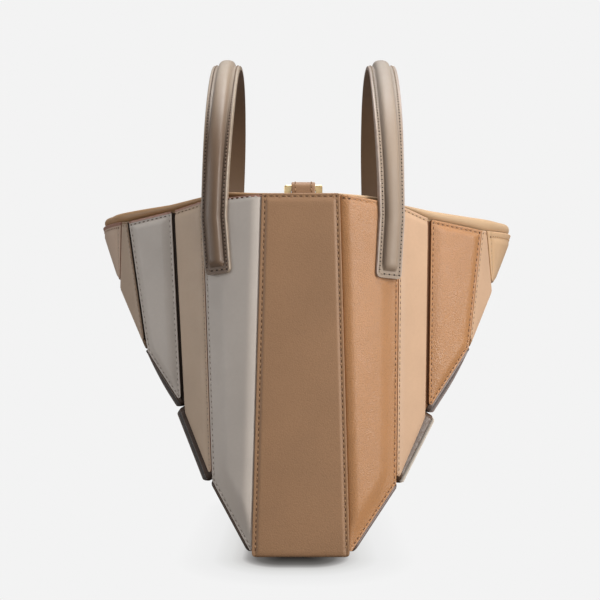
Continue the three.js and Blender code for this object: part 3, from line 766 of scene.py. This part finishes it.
# folds of the two sides: rim point, how far it lies behind the gusset's face, and the mitre at its foot
bagSize = {"length": 350, "gussetTop": 30.7, "gussetFoot": 38.4, "rim": 284.0, "panel": 3.0,
           "middle": 190}
foldColumns = ("topX", "topZ", "inset", "mitreX", "mitreZ")
sideSet = {
    "left": {
        "sign": -1,
        "folds": [(30.7, 282.9, 1.5, 38.4, 1.5), (78.8, 280.0, 27, 70.6, 57.7),
                  (104.5, 274.2, 54.4, 95.5, 114.8), (143.8, 266.8, 78.4, 127, 160.6),
                  (149.8, 267.3, 88, 152.3, 212.4)],
        "faceRim": (173.8, 266.5),
        "crest": ((30, 58, 80, 106, 130, 160), (284.4, 287, 284.2, 279.4, 277, 273.8)),
        "handle": {"tabX": 64.2, "tabZ": 221, "springX": 67.8, "crownX": 63.3},
        "looks": {"b": "grey", "c": "taupe", "d": "grey", "e": "cream", "face": "faceTaupe",
                  "facing": "brown", "handle": "shadedLeftHandle"},
        "slabs": {"b": "shadedSlab", "c": "shadedSlab", "d": "shadedSlab", "e": "cream"},
        "slabTilt": {},
        "edges": {"rim": "paintedRim"},
        "seam": "seamShadeDark",
    },
    "right": {
        "sign": 1,
        "folds": [(30.7, 282.9, 1.5, 38.4, 1.5), (78.8, 276.8, 27, 76.3, 55),
                  (105.3, 267.4, 54.4, 102.7, 109.7), (150.8, 259.6, 78.4, 139, 162.2),
                  (155.2, 259.5, 85.5, 161.5, 209.8)],
        "faceRim": (184.9, 260.2),
        "crest": ((30, 58, 80, 106, 140, 165), (284.4, 283.6, 278.4, 274.2, 270.6, 268.6)),
        "handle": {"tabX": 68.2, "tabZ": 217.8, "springX": 71.2, "crownX": 69.3},
        "looks": {"b": "caramel", "c": "lightTan", "d": "caramel", "e": "lightTan", "face": "honey",
                  "facing": "sand", "handle": "rightHandle"},
        "slabs": {"b": "mauveSlab", "c": "paleSlab", "d": "mauveSlab", "e": "lightTan"},
        "slabTilt": {"c": 2.0},
        "edges": {"sewnWide": "sewn", "sewnBack": "sewn", "tightRim": "rim"},
        "seam": "seamShadeWarm",
    },
}
stripSet = {   # padding of each strip's end panel, the finish of its edges, and the slab under it
    "b": {"puff": 0.3, "crown": 0.25, "edges": ("tucked", "sewn", "sewn", "tightRim"),
          "radii": (2, 1.2, 2, 2), "slab": 1.3, "flange": 0.6,
          "runEdges": ("slabFoot", "slabEnd", "slab", "slabEnd")},
    "c": {"puff": 0.8, "crown": 0.3, "edges": ("sewn", "plain", "rolled", "rim"), "radii": (2, 2, 2, 2.5),
          "slab": 3.2, "flange": 3.2, "runEdges": ("slab", "shadedFlangeEnd", "slab", "shadedFlangeEnd")},
    "d": {"puff": 1.5, "crown": 0.4, "edges": ("valley", "sewn", "sewnWide", "rim"), "radii": (2, 2, 2, 2),
          "slab": 3.4, "flange": 0.7, "runEdges": ("slab", "slabEnd", "slabTaper", "slabEnd")},
    "e": {"puff": 0.4, "crown": 0.2, "edges": ("sewnBack", "plain", "plain", "rim"), "radii": (2, 2, 2, 2),
          "slab": 0.4, "flange": 0.0, "runEdges": ("slab", "slabEnd", "slab", "slabEnd")},
}
slabSet = {"thick": 2.4, "radius": 6.0}
half = bagSize["length"] / 2
inside = vec(0, 0, bagSize["middle"])


def foldPoints(side):
    tops = []
    mitres = []
    for row in side["folds"]:
        fold = dict(zip(foldColumns, row))
        top = vec(side["sign"] * fold["topX"], fold["inset"] - half, fold["topZ"])
        mitre = vec(side["sign"] * fold["mitreX"], fold["inset"] - half, fold["mitreZ"])
        if tops:
            normal = np.cross(mitres[-1] - tops[-1], top - tops[-1])
            mitre[1] -= np.dot(mitre - tops[-1], normal) / normal[1]
        tops.append(top)
        mitres.append(mitre)
    return tops, mitres


def outward(a, b, c):
    normal = unit(np.cross(b - a, c - a))
    return -normal if np.dot(normal, inside - a) > 0 else normal


for sideName, side in sideSet.items():
    side["tops"], side["mitres"] = foldPoints(side)
    tops, mitres = side["tops"], side["mitres"]
    side["endNormals"] = [outward(tops[i], mitres[i], tops[i + 1]) for i in range(4)]
    side["runNormals"] = [outward(mitres[i], mitres[i + 1], flipY(mitres[i])) for i in range(4)]


def makeStrips(sideName, side):
    tops, mitres = side["tops"], side["mitres"]
    for i, (letter, strip) in enumerate(stripSet.items()):
        look = side["looks"][letter]
        edges = [side["edges"].get(edge, edge) for edge in strip["edges"]]
        quad = [tops[i], mitres[i], mitres[i + 1], tops[i + 1]]
        for end, turn in (("near", 1), ("far", -1)):
            way = vec(1, turn, 1)
            shape = Shape(look)
            flatPanel(shape, [p * way for p in quad], side["endNormals"][i] * way, edges, look,
                      puff=strip["puff"], crown=strip["crown"], radius=strip["radii"],
                      threadLook=look + "Thread", seamLook=side["seam"])
            made = shape.build(f"leather_{sideName}_{letter}_{end}",
                               nodes=[f"strip_{sideName}_{letter}_{end}"])
        run = side["slabs"][letter]
        shape = Shape(run)
        corners = [mitres[i], flipY(mitres[i]), flipY(mitres[i + 1]), mitres[i + 1]]
        flatPanel(shape, corners, side["runNormals"][i], strip["runEdges"], run, puff=strip["slab"],
                  crown=0.0, lift=strip["flange"], thick=slabSet["thick"], radius=slabSet["radius"],
                  tilt=side["slabTilt"].get(letter, 0.0))
        made = shape.build(f"slab_{sideName}_{letter}",
                           nodes=[f"strip_{sideName}_{letter}_bottom"])


for sideName, side in sideSet.items():
    makeStrips(sideName, side)
print("strips: end panels and slabs")


# gussets and base
gussetSet = {"puff": 0.9, "crown": 0.3, "thick": 3.0, "radii": (3.8, 3.8, 2.5, 2.5),
             "edges": ("gussetFoot", "gussetSide", "rim", "gussetSide")}
baseSet = {"gap": 0.2, "crown": -0.15, "thick": 3.0, "radius": 1.5,
           "edges": ("baseSide", "plain", "baseSide", "plain")}


def makeGussets():
    low, high, rim = bagSize["gussetFoot"], bagSize["gussetTop"], bagSize["rim"]
    for end, turn in (("near", -1), ("far", 1)):
        y = turn * half
        shape = Shape("tan")
        corners = [vec(-low, y, 0), vec(low, y, 0), vec(high, y, rim), vec(-high, y, rim)]
        flatPanel(shape, corners, vec(0, turn, 0), gussetSet["edges"], "tan", puff=gussetSet["puff"],
                  crown=gussetSet["crown"], thick=gussetSet["thick"], radius=gussetSet["radii"],
                  threadLook="tanThread")
        shape.build(f"leather_gusset_{end}", nodes=[f"gusset_{end}"])
    shape = Shape("tan")
    deep = half - bagSize["panel"] - baseSet["gap"]
    corners = [vec(-low, -deep, 0), vec(-low, deep, 0), vec(low, deep, 0), vec(low, -deep, 0)]
    flatPanel(shape, corners, vec(0, 0, -1), baseSet["edges"], "tan", crown=baseSet["crown"],
              thick=baseSet["thick"], radius=baseSet["radius"])
    shape.build("leather_base", nodes=["base"])


makeGussets()
print("gussets and base")


# bowed middle panel of each main face
faceSet = {"along": 72, "up": 22, "thick": 3.0, "outUp": 1.0, "puff": 0.9, "cornerRound": 2.5,
           "edgeRound": 0.6, "rimPaint": 3.2, "rimStitch": 4.4, "endStitch": 4.6, "stitchUp": 0.74,
           "rimRow": 5.0, "endRow": (15.0, 7.0), "grooveWide": 0.7, "grooveDeep": 0.3, "grooveShade": 0.4,
           "wornShare": 0.3, "footUp": 8.5, "bandOver": 6.0, "bandUnder": 5.0, "bandBack": 2.5, "bandRows": 7,
           "padEnd": (5.6, 4), "padRim": (5.0, 3), "padFoot": (1, 4), "rimPower": 0.78, "slopeStep": 0.02,
           "wayStep": 0.01}


def faceSurface(side, u, v):
    top, foot = side["tops"][4], side["mitres"][4]
    rimX, rimZ = side["faceRim"]
    bow = 1 - u * u
    bowed = lerp(foot[0], side["sign"] * rimX, np.maximum(v, 0) ** faceSet["rimPower"])
    x = lerp(lerp(foot[0], top[0], v), bowed, bow)
    y = -u * lerp(foot[1], top[1], v)
    z = lerp(foot[2], lerp(top[2], rimZ, bow), v)
    return np.stack([x, y, z], axis=-1)


def faceNormal(side, u, v):
    step = faceSet["slopeStep"]
    along = faceSurface(side, np.minimum(u + step, 1), v) - faceSurface(side, np.maximum(u - step, -1), v)
    up = faceSurface(side, u, np.minimum(v + step, 1)) - faceSurface(side, u, v - step)
    normal = unit(np.cross(along, up))
    return normal * np.sign(normal[..., :1] * side["sign"])


def makeFace(sideName, side):
    look = side["looks"]["face"]
    shape = Shape(look)
    lengthY = 2 * abs(side["tops"][4][1])
    tall = side["tops"][4][2] - side["mitres"][4][2]
    along = 2 * spread(lengthY, lengthY / faceSet["along"]) - 1
    footShare = faceSet["footUp"] / tall
    v0 = spread(tall, tall / faceSet["up"])
    u, v = np.meshgrid(along, lerp(footShare, 1, v0), indexing="ij")
    fromEnd = (1 - np.abs(u)) * lengthY / 2
    turn = np.clip(1 - fromEnd / faceSet["cornerRound"], 0, 1)
    lifted = (1 - np.sqrt(1 - turn ** 2)) * faceSet["cornerRound"] / tall
    v = v + lifted * (1 - v)
    fromRim = (1 - v) * tall
    fromFoot = (v - footShare - lifted) * tall
    padding = np.ones(u.shape)
    for distance, edge in ((fromEnd, "padEnd"), (fromRim, "padRim"), (fromFoot, "padFoot")):
        start, rise = faceSet[edge]
        padding *= smooth((distance - start) / rise)
    nearest = np.minimum(np.minimum(fromEnd, fromRim), fromFoot)
    bend = 1 - np.clip(nearest / faceSet["edgeRound"], 0, 1)
    groove = np.maximum(bell(fromEnd, faceSet["endStitch"], faceSet["grooveWide"]),
                        bell(fromRim, faceSet["rimStitch"], faceSet["grooveWide"]))
    height = faceSet["puff"] * padding - faceSet["edgeRound"] * rollOff(bend) - faceSet["grooveDeep"] * groove

    def plate(u, v, front, behind, plateLook, paintUpTo=0.0, wearAndCrownLight=None, creaseShade=None):
        surface, normal = faceSurface(side, u, v), faceNormal(side, u, v)
        rows, columns = u.shape
        skin = tube(rows, columns, closeColumns=False)
        if side["sign"] > 0:
            skin = [face[::-1] for face in skin]
        flatRim = ((1 - v) * tall).reshape(-1)
        painted = [f for f in skin if flatRim[list(f)].mean() < paintUpTo]
        plain = [f for f in skin if flatRim[list(f)].mean() >= paintUpTo]
        begin = shape.add(surface + normal * front[..., None], plain, plateLook, wearAndCrownLight, creaseShade)
        shape.addFaces(painted, plateLook + "Edge", begin)
        low = shape.add(surface - normal * behind, [f[::-1] for f in skin], "suede")
        walls = gridWalls(rows, columns, begin, low)
        shape.addFaces(walls if side["sign"] < 0 else [w[::-1] for w in walls], plateLook + "Edge")

    rimPaint = faceSet["rimPaint"] if "rim" in side["edges"] else 0.0
    outUp = faceSet["outUp"]
    plate(u, v, height + outUp, faceSet["thick"] - outUp, look, rimPaint,
          faceSet["wornShare"] * bend.reshape(-1), faceSet["grooveShade"] * groove.reshape(-1))
    # set-back band under the panel's raised foot
    bandLow, bandHigh = -faceSet["bandUnder"] / tall, footShare + faceSet["bandOver"] / tall
    bandUp = np.linspace(bandLow, bandHigh, faceSet["bandRows"])
    bandU, bandV = np.meshgrid(along, bandUp, indexing="ij")
    plate(bandU, bandV, np.full(bandU.shape, -faceSet["bandBack"]), faceSet["thick"], side["looks"]["e"])

    def sew(us, vs, way):
        out = faceNormal(side, us, vs)
        spots = faceSurface(side, us, vs) + out * faceSet["stitchUp"]
        stitchRow(shape, spots, unit(way), out, look + "Thread")

    step = faceSet["wayStep"]
    count = int(lengthY / stitchSet["pitch"])
    last = 1 - faceSet["rimRow"] / lengthY
    us = np.linspace(-last, last, count)
    vs = np.full(count, 1 - faceSet["rimStitch"] / tall)
    sew(us, vs, faceSurface(side, us + step, vs) - faceSurface(side, us - step, vs))
    low, high = faceSet["endRow"]
    count = int((tall - low - high) / stitchSet["pitch"])
    vs = np.linspace(low / tall, 1 - high / tall, count)
    for end in (-1, 1):
        us = np.full(count, end * (1 - 2 * faceSet["endStitch"] / lengthY))
        sew(us, vs, faceSurface(side, us, vs + step) - faceSurface(side, us, vs - step))
    shape.build(f"leather_face_{sideName}", nodes=[f"face_{sideName}"])


for sideName, side in sideSet.items():
    makeFace(sideName, side)
print("faces")


# band inside the rim, standing a little above the panels
facingSet = {"thick": 2.4, "tall": 30, "round": 1.2, "clear": 0.7, "faceClear": 1.2, "steps": 120,
             "bulge": 3.4, "bulgeShare": 0.5, "overRim": 0.3, "leastRise": 1.2, "startX": 30,
             "faceStops": (-0.96, -0.66, -0.33), "roll": (235, -20, 15),
             "outerStops": (0, 0.3, 0.6, 0.85, 0.96), "innerStops": (0.04, 0.15, 0.4, 0.7, 1)}


def smoothRoute(points, steps):
    # centripetal Catmull-Rom through the points
    points = np.array(points, float)
    ends = np.concatenate([[2 * points[0] - points[1]], points, [2 * points[-1] - points[-2]]])
    made = []
    for share in np.linspace(0, len(points) - 1, steps + 1):
        i = min(int(share), len(points) - 2)
        t = share - i
        p = ends[i:i + 4]
        hops = np.diff(p, axis=0)
        gap = np.sqrt(np.linalg.norm(hops, axis=1))
        first = (hops[0] / gap[0] - (p[2] - p[0]) / (gap[0] + gap[1]) + hops[1] / gap[1]) * gap[1]
        second = (hops[1] / gap[1] - (p[3] - p[1]) / (gap[1] + gap[2]) + hops[2] / gap[2]) * gap[1]
        made.append(p[1] * (2 * t ** 3 - 3 * t ** 2 + 1) + p[2] * (3 * t ** 2 - 2 * t ** 3)
                    + first * (t ** 3 - 2 * t ** 2 + t) + second * (t ** 3 - t ** 2))
    return np.array(made)


def meet(normals, points):
    # the point nearest to lying on all of the planes
    normals = np.array(normals)
    return np.linalg.lstsq(normals, np.sum(normals * np.array(points), axis=1), rcond=None)[0]


def makeFacing(sideName, side):
    look = side["looks"]["facing"]
    back = bagSize["panel"] + facingSet["clear"]
    tops = side["tops"]
    ends = side["endNormals"]
    gusset = vec(0, -1, 0)

    def crestAt(x):
        return float(np.interp(abs(x), *side["crest"]))

    def foldAt(normals, fold, drop):
        level = crestAt(tops[fold][0]) - drop
        return meet(normals + [vec(0, 0, 1)], [tops[fold] - n * back for n in normals] + [vec(0, 0, level)])

    def faceAt(u, drop):
        rim = faceSurface(side, np.array(u), np.array(1.0))
        tall = rim[2] - side["mitres"][4][2]
        v = np.array(min(1 - (drop - crestAt(rim[0]) + rim[2]) / tall, 1.0))
        behind = bagSize["panel"] + facingSet["faceClear"]
        return faceSurface(side, np.array(u), v) - faceNormal(side, np.array(u), v) * behind

    def route(drop):
        level = crestAt(facingSet["startX"]) - drop
        first = meet([gusset, ends[0], vec(0, 0, 1)],
                     [vec(0, -half + back, 0), tops[0] - ends[0] * back, vec(0, 0, level)])
        points = [first, foldAt([ends[1], ends[2]], 2, drop)]
        points += [faceAt(u, drop) for u in facingSet["faceStops"]]
        across = [faceAt(0.0, drop)] + [flipY(p) for p in points[::-1]]
        return smoothRoute(points + across, facingSet["steps"])

    rimX = [abs(p[0]) for p in tops] + [side["faceRim"][0]]
    rimZ = [p[2] for p in tops] + [side["faceRim"][1]]
    high = route(facingSet["round"])
    low = route(facingSet["tall"])
    travel = np.gradient(high, axis=0)
    inwards = unit(np.cross(vec(0, 0, side["sign"]), travel))
    arc = np.radians(np.linspace(*facingSet["roll"]))
    thick = facingSet["thick"]
    sections = []
    for point, foot, way in zip(high, low, inwards):
        crest = crestAt(point[0])
        rim = float(np.interp(abs(point[0]), rimX, rimZ)) + facingSet["overRim"]
        rise = max(crest - rim, facingSet["leastRise"])
        bulge = min(facingSet["bulge"], facingSet["bulgeShare"] * rise)
        top = vec(point[0], point[1], crest - rise)
        bottom = vec(foot[0], foot[1], crest - facingSet["tall"])
        centre = vec(point[0], point[1], crest - rise / 2) + way * (thick - bulge) / 2
        reach = way * (thick + bulge) / 2
        rolled = [centre + reach * math.cos(a) + vec(0, 0, math.sin(a) * rise / 2) for a in arc]
        outer = [lerp(bottom, top, s) for s in facingSet["outerStops"]]
        inner = [lerp(top, bottom, s) + way * thick for s in facingSet["innerStops"]]
        sections.append(outer + rolled + inner)
    rows, columns = len(sections), len(sections[0])
    faces = tube(rows, columns) + tubeCaps(rows, columns)
    if side["sign"] > 0:
        faces = [f[::-1] for f in faces]
    shape = Shape(look)
    shape.add(np.array(sections), faces, look)
    shape.build(f"leather_facing_{sideName}", nodes=[f"facing_{sideName}"])


for sideName, side in sideSet.items():
    makeFacing(sideName, side)
print("facings")


# handles: a strap with a padded rib, sewn flat on strip b at both ends
handleSet = {"wide": 23.4, "thick": 3.4, "ribHalf": 6.5, "ribRise": 4.9, "ribPower": 2.4, "ribStart": 6.2,
             "ribLead": 5.0, "leadPower": 4, "springZ": 266, "crownZ": 405.4, "archPower": 2.25,
             "untwist": 1.0, "tabRound": 4.0, "tabStops": (0, 0.25, 0.7, 1.3, 2.1, 3.0), "stepFrom": 4.0,
             "stepTo": 0.8, "tabStep": 1.6, "archSteps": 74, "seatLift": 2.8, "across": 45,
             "edgeRoll": 0.8, "edgeShare": 0.07, "paint": 1.0, "crownLightFrom": 315, "crownLightTo": 405,
             "grooveOut": 0.3, "grooveWide": 0.9, "grooveDeep": 0.3, "grooveShade": 0.5, "grooveFrom": (8, 3),
             "stitchAt": 9.1, "pitch": 3.1, "threadUp": 0.02, "crossStitchAt": 3.4, "crossStitches": 4,
             "rowGap": 1.2}


def handleRoute(side):
    # points on the strap's inner face from tab to tab, with the ways across, out and along, and the distance
    spec = side["handle"]
    normal = side["endNormals"][0]
    seat = side["tops"][0] + normal * handleSet["seatLift"]
    springZ = handleSet["springZ"]

    def onSeat(x, z):
        point = vec(side["sign"] * x, 0, z)
        point[1] -= np.dot(point - seat, normal) / normal[1]
        return point

    spring = onSeat(spec["springX"], springZ)
    tall = springZ - spec["tabZ"]
    steps = np.arange(handleSet["stepFrom"], tall - handleSet["stepTo"], handleSet["tabStep"])
    climbs = np.concatenate([handleSet["tabStops"], steps])
    places = [onSeat(lerp(spec["tabX"], spec["springX"], c / tall), spec["tabZ"] + c) for c in climbs]
    outs = [normal] * len(places)
    power = 2 / handleSet["archPower"]
    for angle in np.linspace(0, math.pi / 2, handleSet["archSteps"]):
        c, s = max(math.cos(angle), 0.0), math.sin(angle)
        places.append(vec(side["sign"] * lerp(spec["springX"], spec["crownX"], s), spring[1] * c ** power,
                          lerp(springZ, handleSet["crownZ"], s ** power)))
        lean = c ** (2 - power) / spring[1]
        climb = s ** (2 - power) / (handleSet["crownZ"] - springZ)
        outs.append(lerp(normal, unit(vec(0, lean, climb)), smooth(angle / handleSet["untwist"])))
    places = np.array(places + [flipY(p) for p in places[-2::-1]])
    outs = np.array(outs + [flipY(o) for o in outs[-2::-1]])
    travel = np.concatenate([[0], np.cumsum(np.linalg.norm(np.diff(places, axis=0), axis=1))])
    alongs = unit(np.gradient(places, travel, axis=0))
    sides = unit(np.cross(alongs, outs))
    return places, sides, unit(np.cross(sides, alongs)), alongs, travel


def superArc(share, power):
    # a quarter of a superellipse, falling from 1 to 0
    return (1 - share ** power) ** (1 / power)


def ribHeight(across, fromEnd):
    lead = np.clip((fromEnd - handleSet["ribStart"]) / handleSet["ribLead"], 0, 1)
    halfWide = np.maximum(handleSet["ribHalf"] * superArc(1 - lead, handleSet["leadPower"]), 0.01)
    share = np.clip(np.abs(across) / halfWide, 0, 1)
    bulge = superArc(share, handleSet["ribPower"])
    return handleSet["ribRise"] * bulge * superArc(1 - lead, handleSet["ribPower"])


def makeHandle(sideName, side):
    look = side["looks"]["handle"]
    shape = Shape(look)
    places, sides, outs, alongs, travel = handleRoute(side)
    fromEnd = np.minimum(travel, travel[-1] - travel)
    full = handleSet["wide"] / 2
    r = handleSet["tabRound"]
    short = r - np.minimum(fromEnd, r)
    halves = full - r + np.sqrt(r * r - short ** 2)
    across = np.linspace(-1, 1, handleSet["across"])
    edgeShare = handleSet["edgeShare"]
    drop = handleSet["edgeRoll"] * rollOff(np.maximum((np.abs(across) - 1 + edgeShare) / edgeShare, 0))
    grooveFrom, grooveLead = handleSet["grooveFrom"]
    grooveAt = handleSet["ribHalf"] + handleSet["grooveOut"]
    tops = []
    creaseShades = []
    for i in range(len(places)):
        a = across * halves[i]
        groove = bell(np.abs(a), grooveAt, handleSet["grooveWide"])
        groove *= smooth((fromEnd[i] - grooveFrom) / grooveLead)
        b = handleSet["thick"] + ribHeight(a, fromEnd[i]) - drop - handleSet["grooveDeep"] * groove
        tops.append(places[i] + a[:, None] * sides[i] + b[:, None] * outs[i])
        creaseShades.append(handleSet["grooveShade"] * groove)
    rows, columns = len(places), len(across)
    backs = [places[i] + (across * halves[i])[:, None] * sides[i] for i in range(rows)]
    topFaces = tube(rows, columns, closeColumns=False)
    paintShare = 1 - handleSet["paint"] / full
    edgeOf = [f for f in topFaces if abs(across[[i % columns for i in f]]).mean() > paintShare]
    plain = [f for f in topFaces if abs(across[[i % columns for i in f]]).mean() <= paintShare]
    # painted light: paler towards the crown, where the light from above falls on it
    crownLightFrom, crownLightTo = handleSet["crownLightFrom"], handleSet["crownLightTo"]
    crownLight = smooth((places[:, 2] - crownLightFrom) / (crownLightTo - crownLightFrom))
    begin = shape.add(np.array(tops), plain, look, np.repeat(crownLight, columns), np.array(creaseShades).reshape(-1))
    shape.addFaces(edgeOf, look + "Edge", begin)
    low = shape.add(np.array(backs), [f[::-1] for f in topFaces], "lining")
    shape.addFaces(gridWalls(rows, columns, begin, low), look + "Edge")

    # two rows of stitches along the margins, joined across each tab
    crossAt, stitchAt = handleSet["crossStitchAt"], handleSet["stitchAt"]
    threadUp = handleSet["thick"] + handleSet["threadUp"]
    rowStart = crossAt + handleSet["rowGap"]
    spots = np.arange(rowStart, travel[-1] - rowStart, handleSet["pitch"])
    for edge in (-1, 1):
        lane = places + sides * edge * stitchAt + outs * threadUp
        at, way, out = [np.stack([np.interp(spots, travel, line[:, k]) for k in range(3)], axis=1)
                        for line in (lane, alongs, outs)]
        stitchRow(shape, at, unit(way), unit(out), look + "Thread", pitch=handleSet["pitch"], hole="darkHole")
    count = handleSet["crossStitches"]
    shares = np.linspace(-1, 1, count + 1)[:-1] + 1 / count
    for place in (crossAt, travel[-1] - crossAt):
        i = np.argmin(np.abs(travel - place))
        at = places[i] + (shares * stitchAt)[:, None] * sides[i] + outs[i] * threadUp
        stitchRow(shape, at, [sides[i]] * count, [outs[i]] * count, look + "Thread", hole="darkHole")
    made = shape.build(f"handle_strap_{sideName}", nodes=[f"handle_{sideName}"])


for sideName, side in sideSet.items():
    makeHandle(sideName, side)
print("handles")


# strap rings and the leather loops that hold them
ringSet = {"x": 2, "wide": 30, "tall": 24, "bar": 4.4, "sideBar": 5.4, "deep": 2.5, "corner": 1.6,
           "innerCorner": 0.7, "bevel": 0.55, "tilt": 4.1, "eyeZ": 288.6, "eyeY": 167.85}
loopSet = {"wide": 18.6, "wall": 1.0, "eye": 2.85, "crown": 0.7, "slit": 0.03, "bevel": 0.6, "edgeIn": 0.4,
           "ribShare": 0.7, "legBottom": 262, "legStops": (1, 0.7, 0.4), "legTop": -3, "turnTo": -0.6,
           "turnSteps": 22, "neckOut": (1.2, -1.25), "neckIn": (-1.22, -4.0), "rearOut": -1.7, "rearIn": -5.6,
           "rearStop": 0.6, "stitchIn": 3.0, "pitch": 3.6, "stitchTurns": (150, 97, 44),
           "stitchDown": (-5.2, -1.6)}


def roundedFrame(wide, low, high, radius, arcSteps=7):
    corners = ((wide - radius, low + radius, -90), (wide - radius, high - radius, 0),
               (-wide + radius, high - radius, 90), (-wide + radius, low + radius, 180))
    points = []
    for x, z, start in corners:
        for a in np.radians(start + np.linspace(0, 90, arcSteps)):
            points.append((x + radius * math.cos(a), z + radius * math.sin(a)))
    return np.array(points)


def atEnd(points, end):
    points = np.asarray(points) + vec(0, -ringSet["eyeY"], ringSet["eyeZ"])
    return points if end == "near" else points * vec(-1, -1, 1) + vec(2 * ringSet["x"], 0, 0)


def makeRing(end):
    bar, deep, bevel = ringSet["bar"], ringSet["deep"] / 2, ringSet["bevel"]
    wide, foot = ringSet["wide"] / 2, bar / 2 - ringSet["tall"]
    outer = roundedFrame(wide, foot, bar / 2, ringSet["corner"])
    inner = roundedFrame(wide - ringSet["sideBar"], foot + bar, -bar / 2, ringSet["innerCorner"])
    c, s = math.cos(math.radians(ringSet["tilt"])), math.sin(math.radians(ringSet["tilt"]))
    points = []
    for start, finish in zip(outer, inner):
        across = np.linalg.norm(finish - start)
        section = ((0, bevel - deep), (0, deep - bevel), (bevel, deep), (across - bevel, deep),
                   (across, deep - bevel), (across, bevel - deep), (across - bevel, -deep), (bevel, -deep))
        for inwards, py in section:
            px, pz = start + (finish - start) * inwards / across
            points.append(vec(px + ringSet["x"], py * c - pz * s, py * s + pz * c))
    shape = Shape("gold")
    shape.add(atEnd(points, end), tube(len(outer), len(section), closeRows=True), "gold")
    shape.build(f"gold_ring_{end}", body=f"ring_{end}", nodes=[f"strap_ring_{end}"], sharp=30)


def makeLoop(end):
    eye, slit, wide = loopSet["eye"], loopSet["slit"], loopSet["wide"]
    outer = eye + loopSet["wall"]
    rear = -outer + 2 * loopSet["wall"]
    drop = loopSet["legBottom"] - ringSet["eyeZ"]

    def overEye(a):
        return outer * math.cos(a), outer * math.sin(a) + loopSet["crown"] * max(math.sin(a), 0) ** 2

    # the folded strap from the side, its outer and inner face: up one leg, round the eye and down the other
    turns = np.linspace(math.pi, loopSet["turnTo"], loopSet["turnSteps"])
    legUp = [drop * stop for stop in loopSet["legStops"]] + [loopSet["legTop"]]
    legDown = [drop * loopSet["rearStop"], drop]
    neckY, neckZ = loopSet["neckOut"]
    outFace = [(-outer, z) for z in legUp] + [overEye(a) for a in turns]
    outFace += [(rear + neckY, neckZ * outer)] + [(rear, z) for z in [loopSet["rearOut"] * outer] + legDown]
    inFace = [(-eye - slit, z) for z in legUp] + [(eye * math.cos(a), eye * math.sin(a)) for a in turns]
    inFace += [loopSet["neckIn"]] + [(-eye + slit, z) for z in [loopSet["rearIn"]] + legDown]
    flat, rib = 1 - 2 * loopSet["bevel"] / wide, loopSet["ribShare"]
    shares = (-1, -flat, -rib, 0, rib, flat, 1)
    points = []
    for out, back in zip(np.array(outFace), np.array(inFace)):
        for share in shares:
            place = lerp(out, back, loopSet["edgeIn"]) if abs(share) == 1 else out
            points.append(vec(ringSet["x"] + share * wide / 2, *place))
        for share in shares[::-1]:
            points.append(vec(ringSet["x"] + share * wide / 2, *back))
    rows, columns = len(outFace), 2 * len(shares)
    # columns of faces: the outer face, one edge, the inner face and the other edge
    turnAt = len(shares) - 1
    faces = {"tan": [], "tanEdge": tubeCaps(rows, columns), "suede": []}
    for face in tube(rows, columns):
        column = face[0] % columns
        edge = column in (turnAt, columns - 1)
        faces["tanEdge" if edge else "tan" if column < turnAt else "suede"].append(face)
    shape = Shape("tan")
    begin = shape.add(atEnd(points, end), faces["tan"], "tan")
    shape.addFaces(faces["tanEdge"], "tanEdge", begin)
    shape.addFaces(faces["suede"], "suede", begin)
    # stitches near both edges, over the eye and down the front leg
    turn = np.radians(loopSet["stitchTurns"])
    down = loopSet["stitchDown"]
    spin = vec(1, 1, 1) if end == "near" else vec(-1, -1, 1)
    ways = [vec(0, 0, 1)] * len(down) + [vec(0, math.sin(a), -math.cos(a)) for a in turn]
    outs = [vec(0, -1, 0)] * len(down) + [vec(0, math.cos(a), math.sin(a)) for a in turn]
    for edge in (-1, 1):
        x = ringSet["x"] + edge * (wide / 2 - loopSet["stitchIn"])
        local = [vec(x, -outer, z) for z in down] + [vec(x, *overEye(a)) for a in turn]
        stitchRow(shape, atEnd(local, end), [w * spin for w in ways], [o * spin for o in outs], "tanThread",
                  pitch=loopSet["pitch"], hole="fineHole")
    shape.build(f"leather_loop_{end}", nodes=[f"ring_loop_{end}"])


for end in ("near", "far"):
    makeRing(end)
    makeLoop(end)
print("rings and loops")


# one continuous inner face behind the seams, its outer side coloured as painted seam shade seen in the gaps
# between panels
skinSet = {"behind": 2.75, "thick": 0.5, "belowRim": 1.5}


def makeSkin(sideName, side):
    tops, mitres = side["tops"], side["mitres"]
    ends = [vec(0, -1, 0)] + side["endNormals"]
    runs = [vec(0, 0, -1)] + side["runNormals"]
    behind = skinSet["behind"]
    last = len(tops) - 1
    upper = []
    lower = []
    for i in range(len(tops)):
        normals = ends[i:i + 2]
        starts = [tops[i] - n * behind for n in normals]
        level = tops[i][2] - skinSet["belowRim"]
        if i == 0:
            starts[0] = vec(0, -half + behind, 0)
        if i == last:
            normals = [normals[0], vec(-side["sign"], 0, 0)]
            starts = [starts[0], tops[i] - vec(side["sign"] * behind, 0, 0)]
        upper.append(meet(normals + [vec(0, 0, 1)], starts + [vec(0, 0, level)]))
        around = ends[i:i + 2] + runs[i:i + 2]
        if i == last:
            around.append(vec(side["sign"], 0, 0))
        feet = [mitres[i] - n * behind for n in around]
        if i == 0:
            feet = [vec(0, -half + behind, 0), feet[1], vec(0, 0, behind), feet[-1]]
        lower.append(meet(around, feet))
    ring = [upper, lower, [flipY(p) for p in lower], [flipY(p) for p in upper]]
    points = np.array(ring).reshape(-1, 3)
    faces = tube(len(ring), len(tops), closeColumns=False)
    shape = Shape(side["seam"], "suede")
    shape.add(points, faces if side["sign"] < 0 else [f[::-1] for f in faces], side["seam"])
    made = shape.build(f"inner_skin_{sideName}", sharp=20)
    wall = made.modifiers.new("wall", "SOLIDIFY")
    wall.thickness = skinSet["thick"] * mm
    wall.offset = -1
    wall.material_offset = 1   # suede towards the inside


for sideName, side in sideSet.items():
    makeSkin(sideName, side)
print("inner skins")
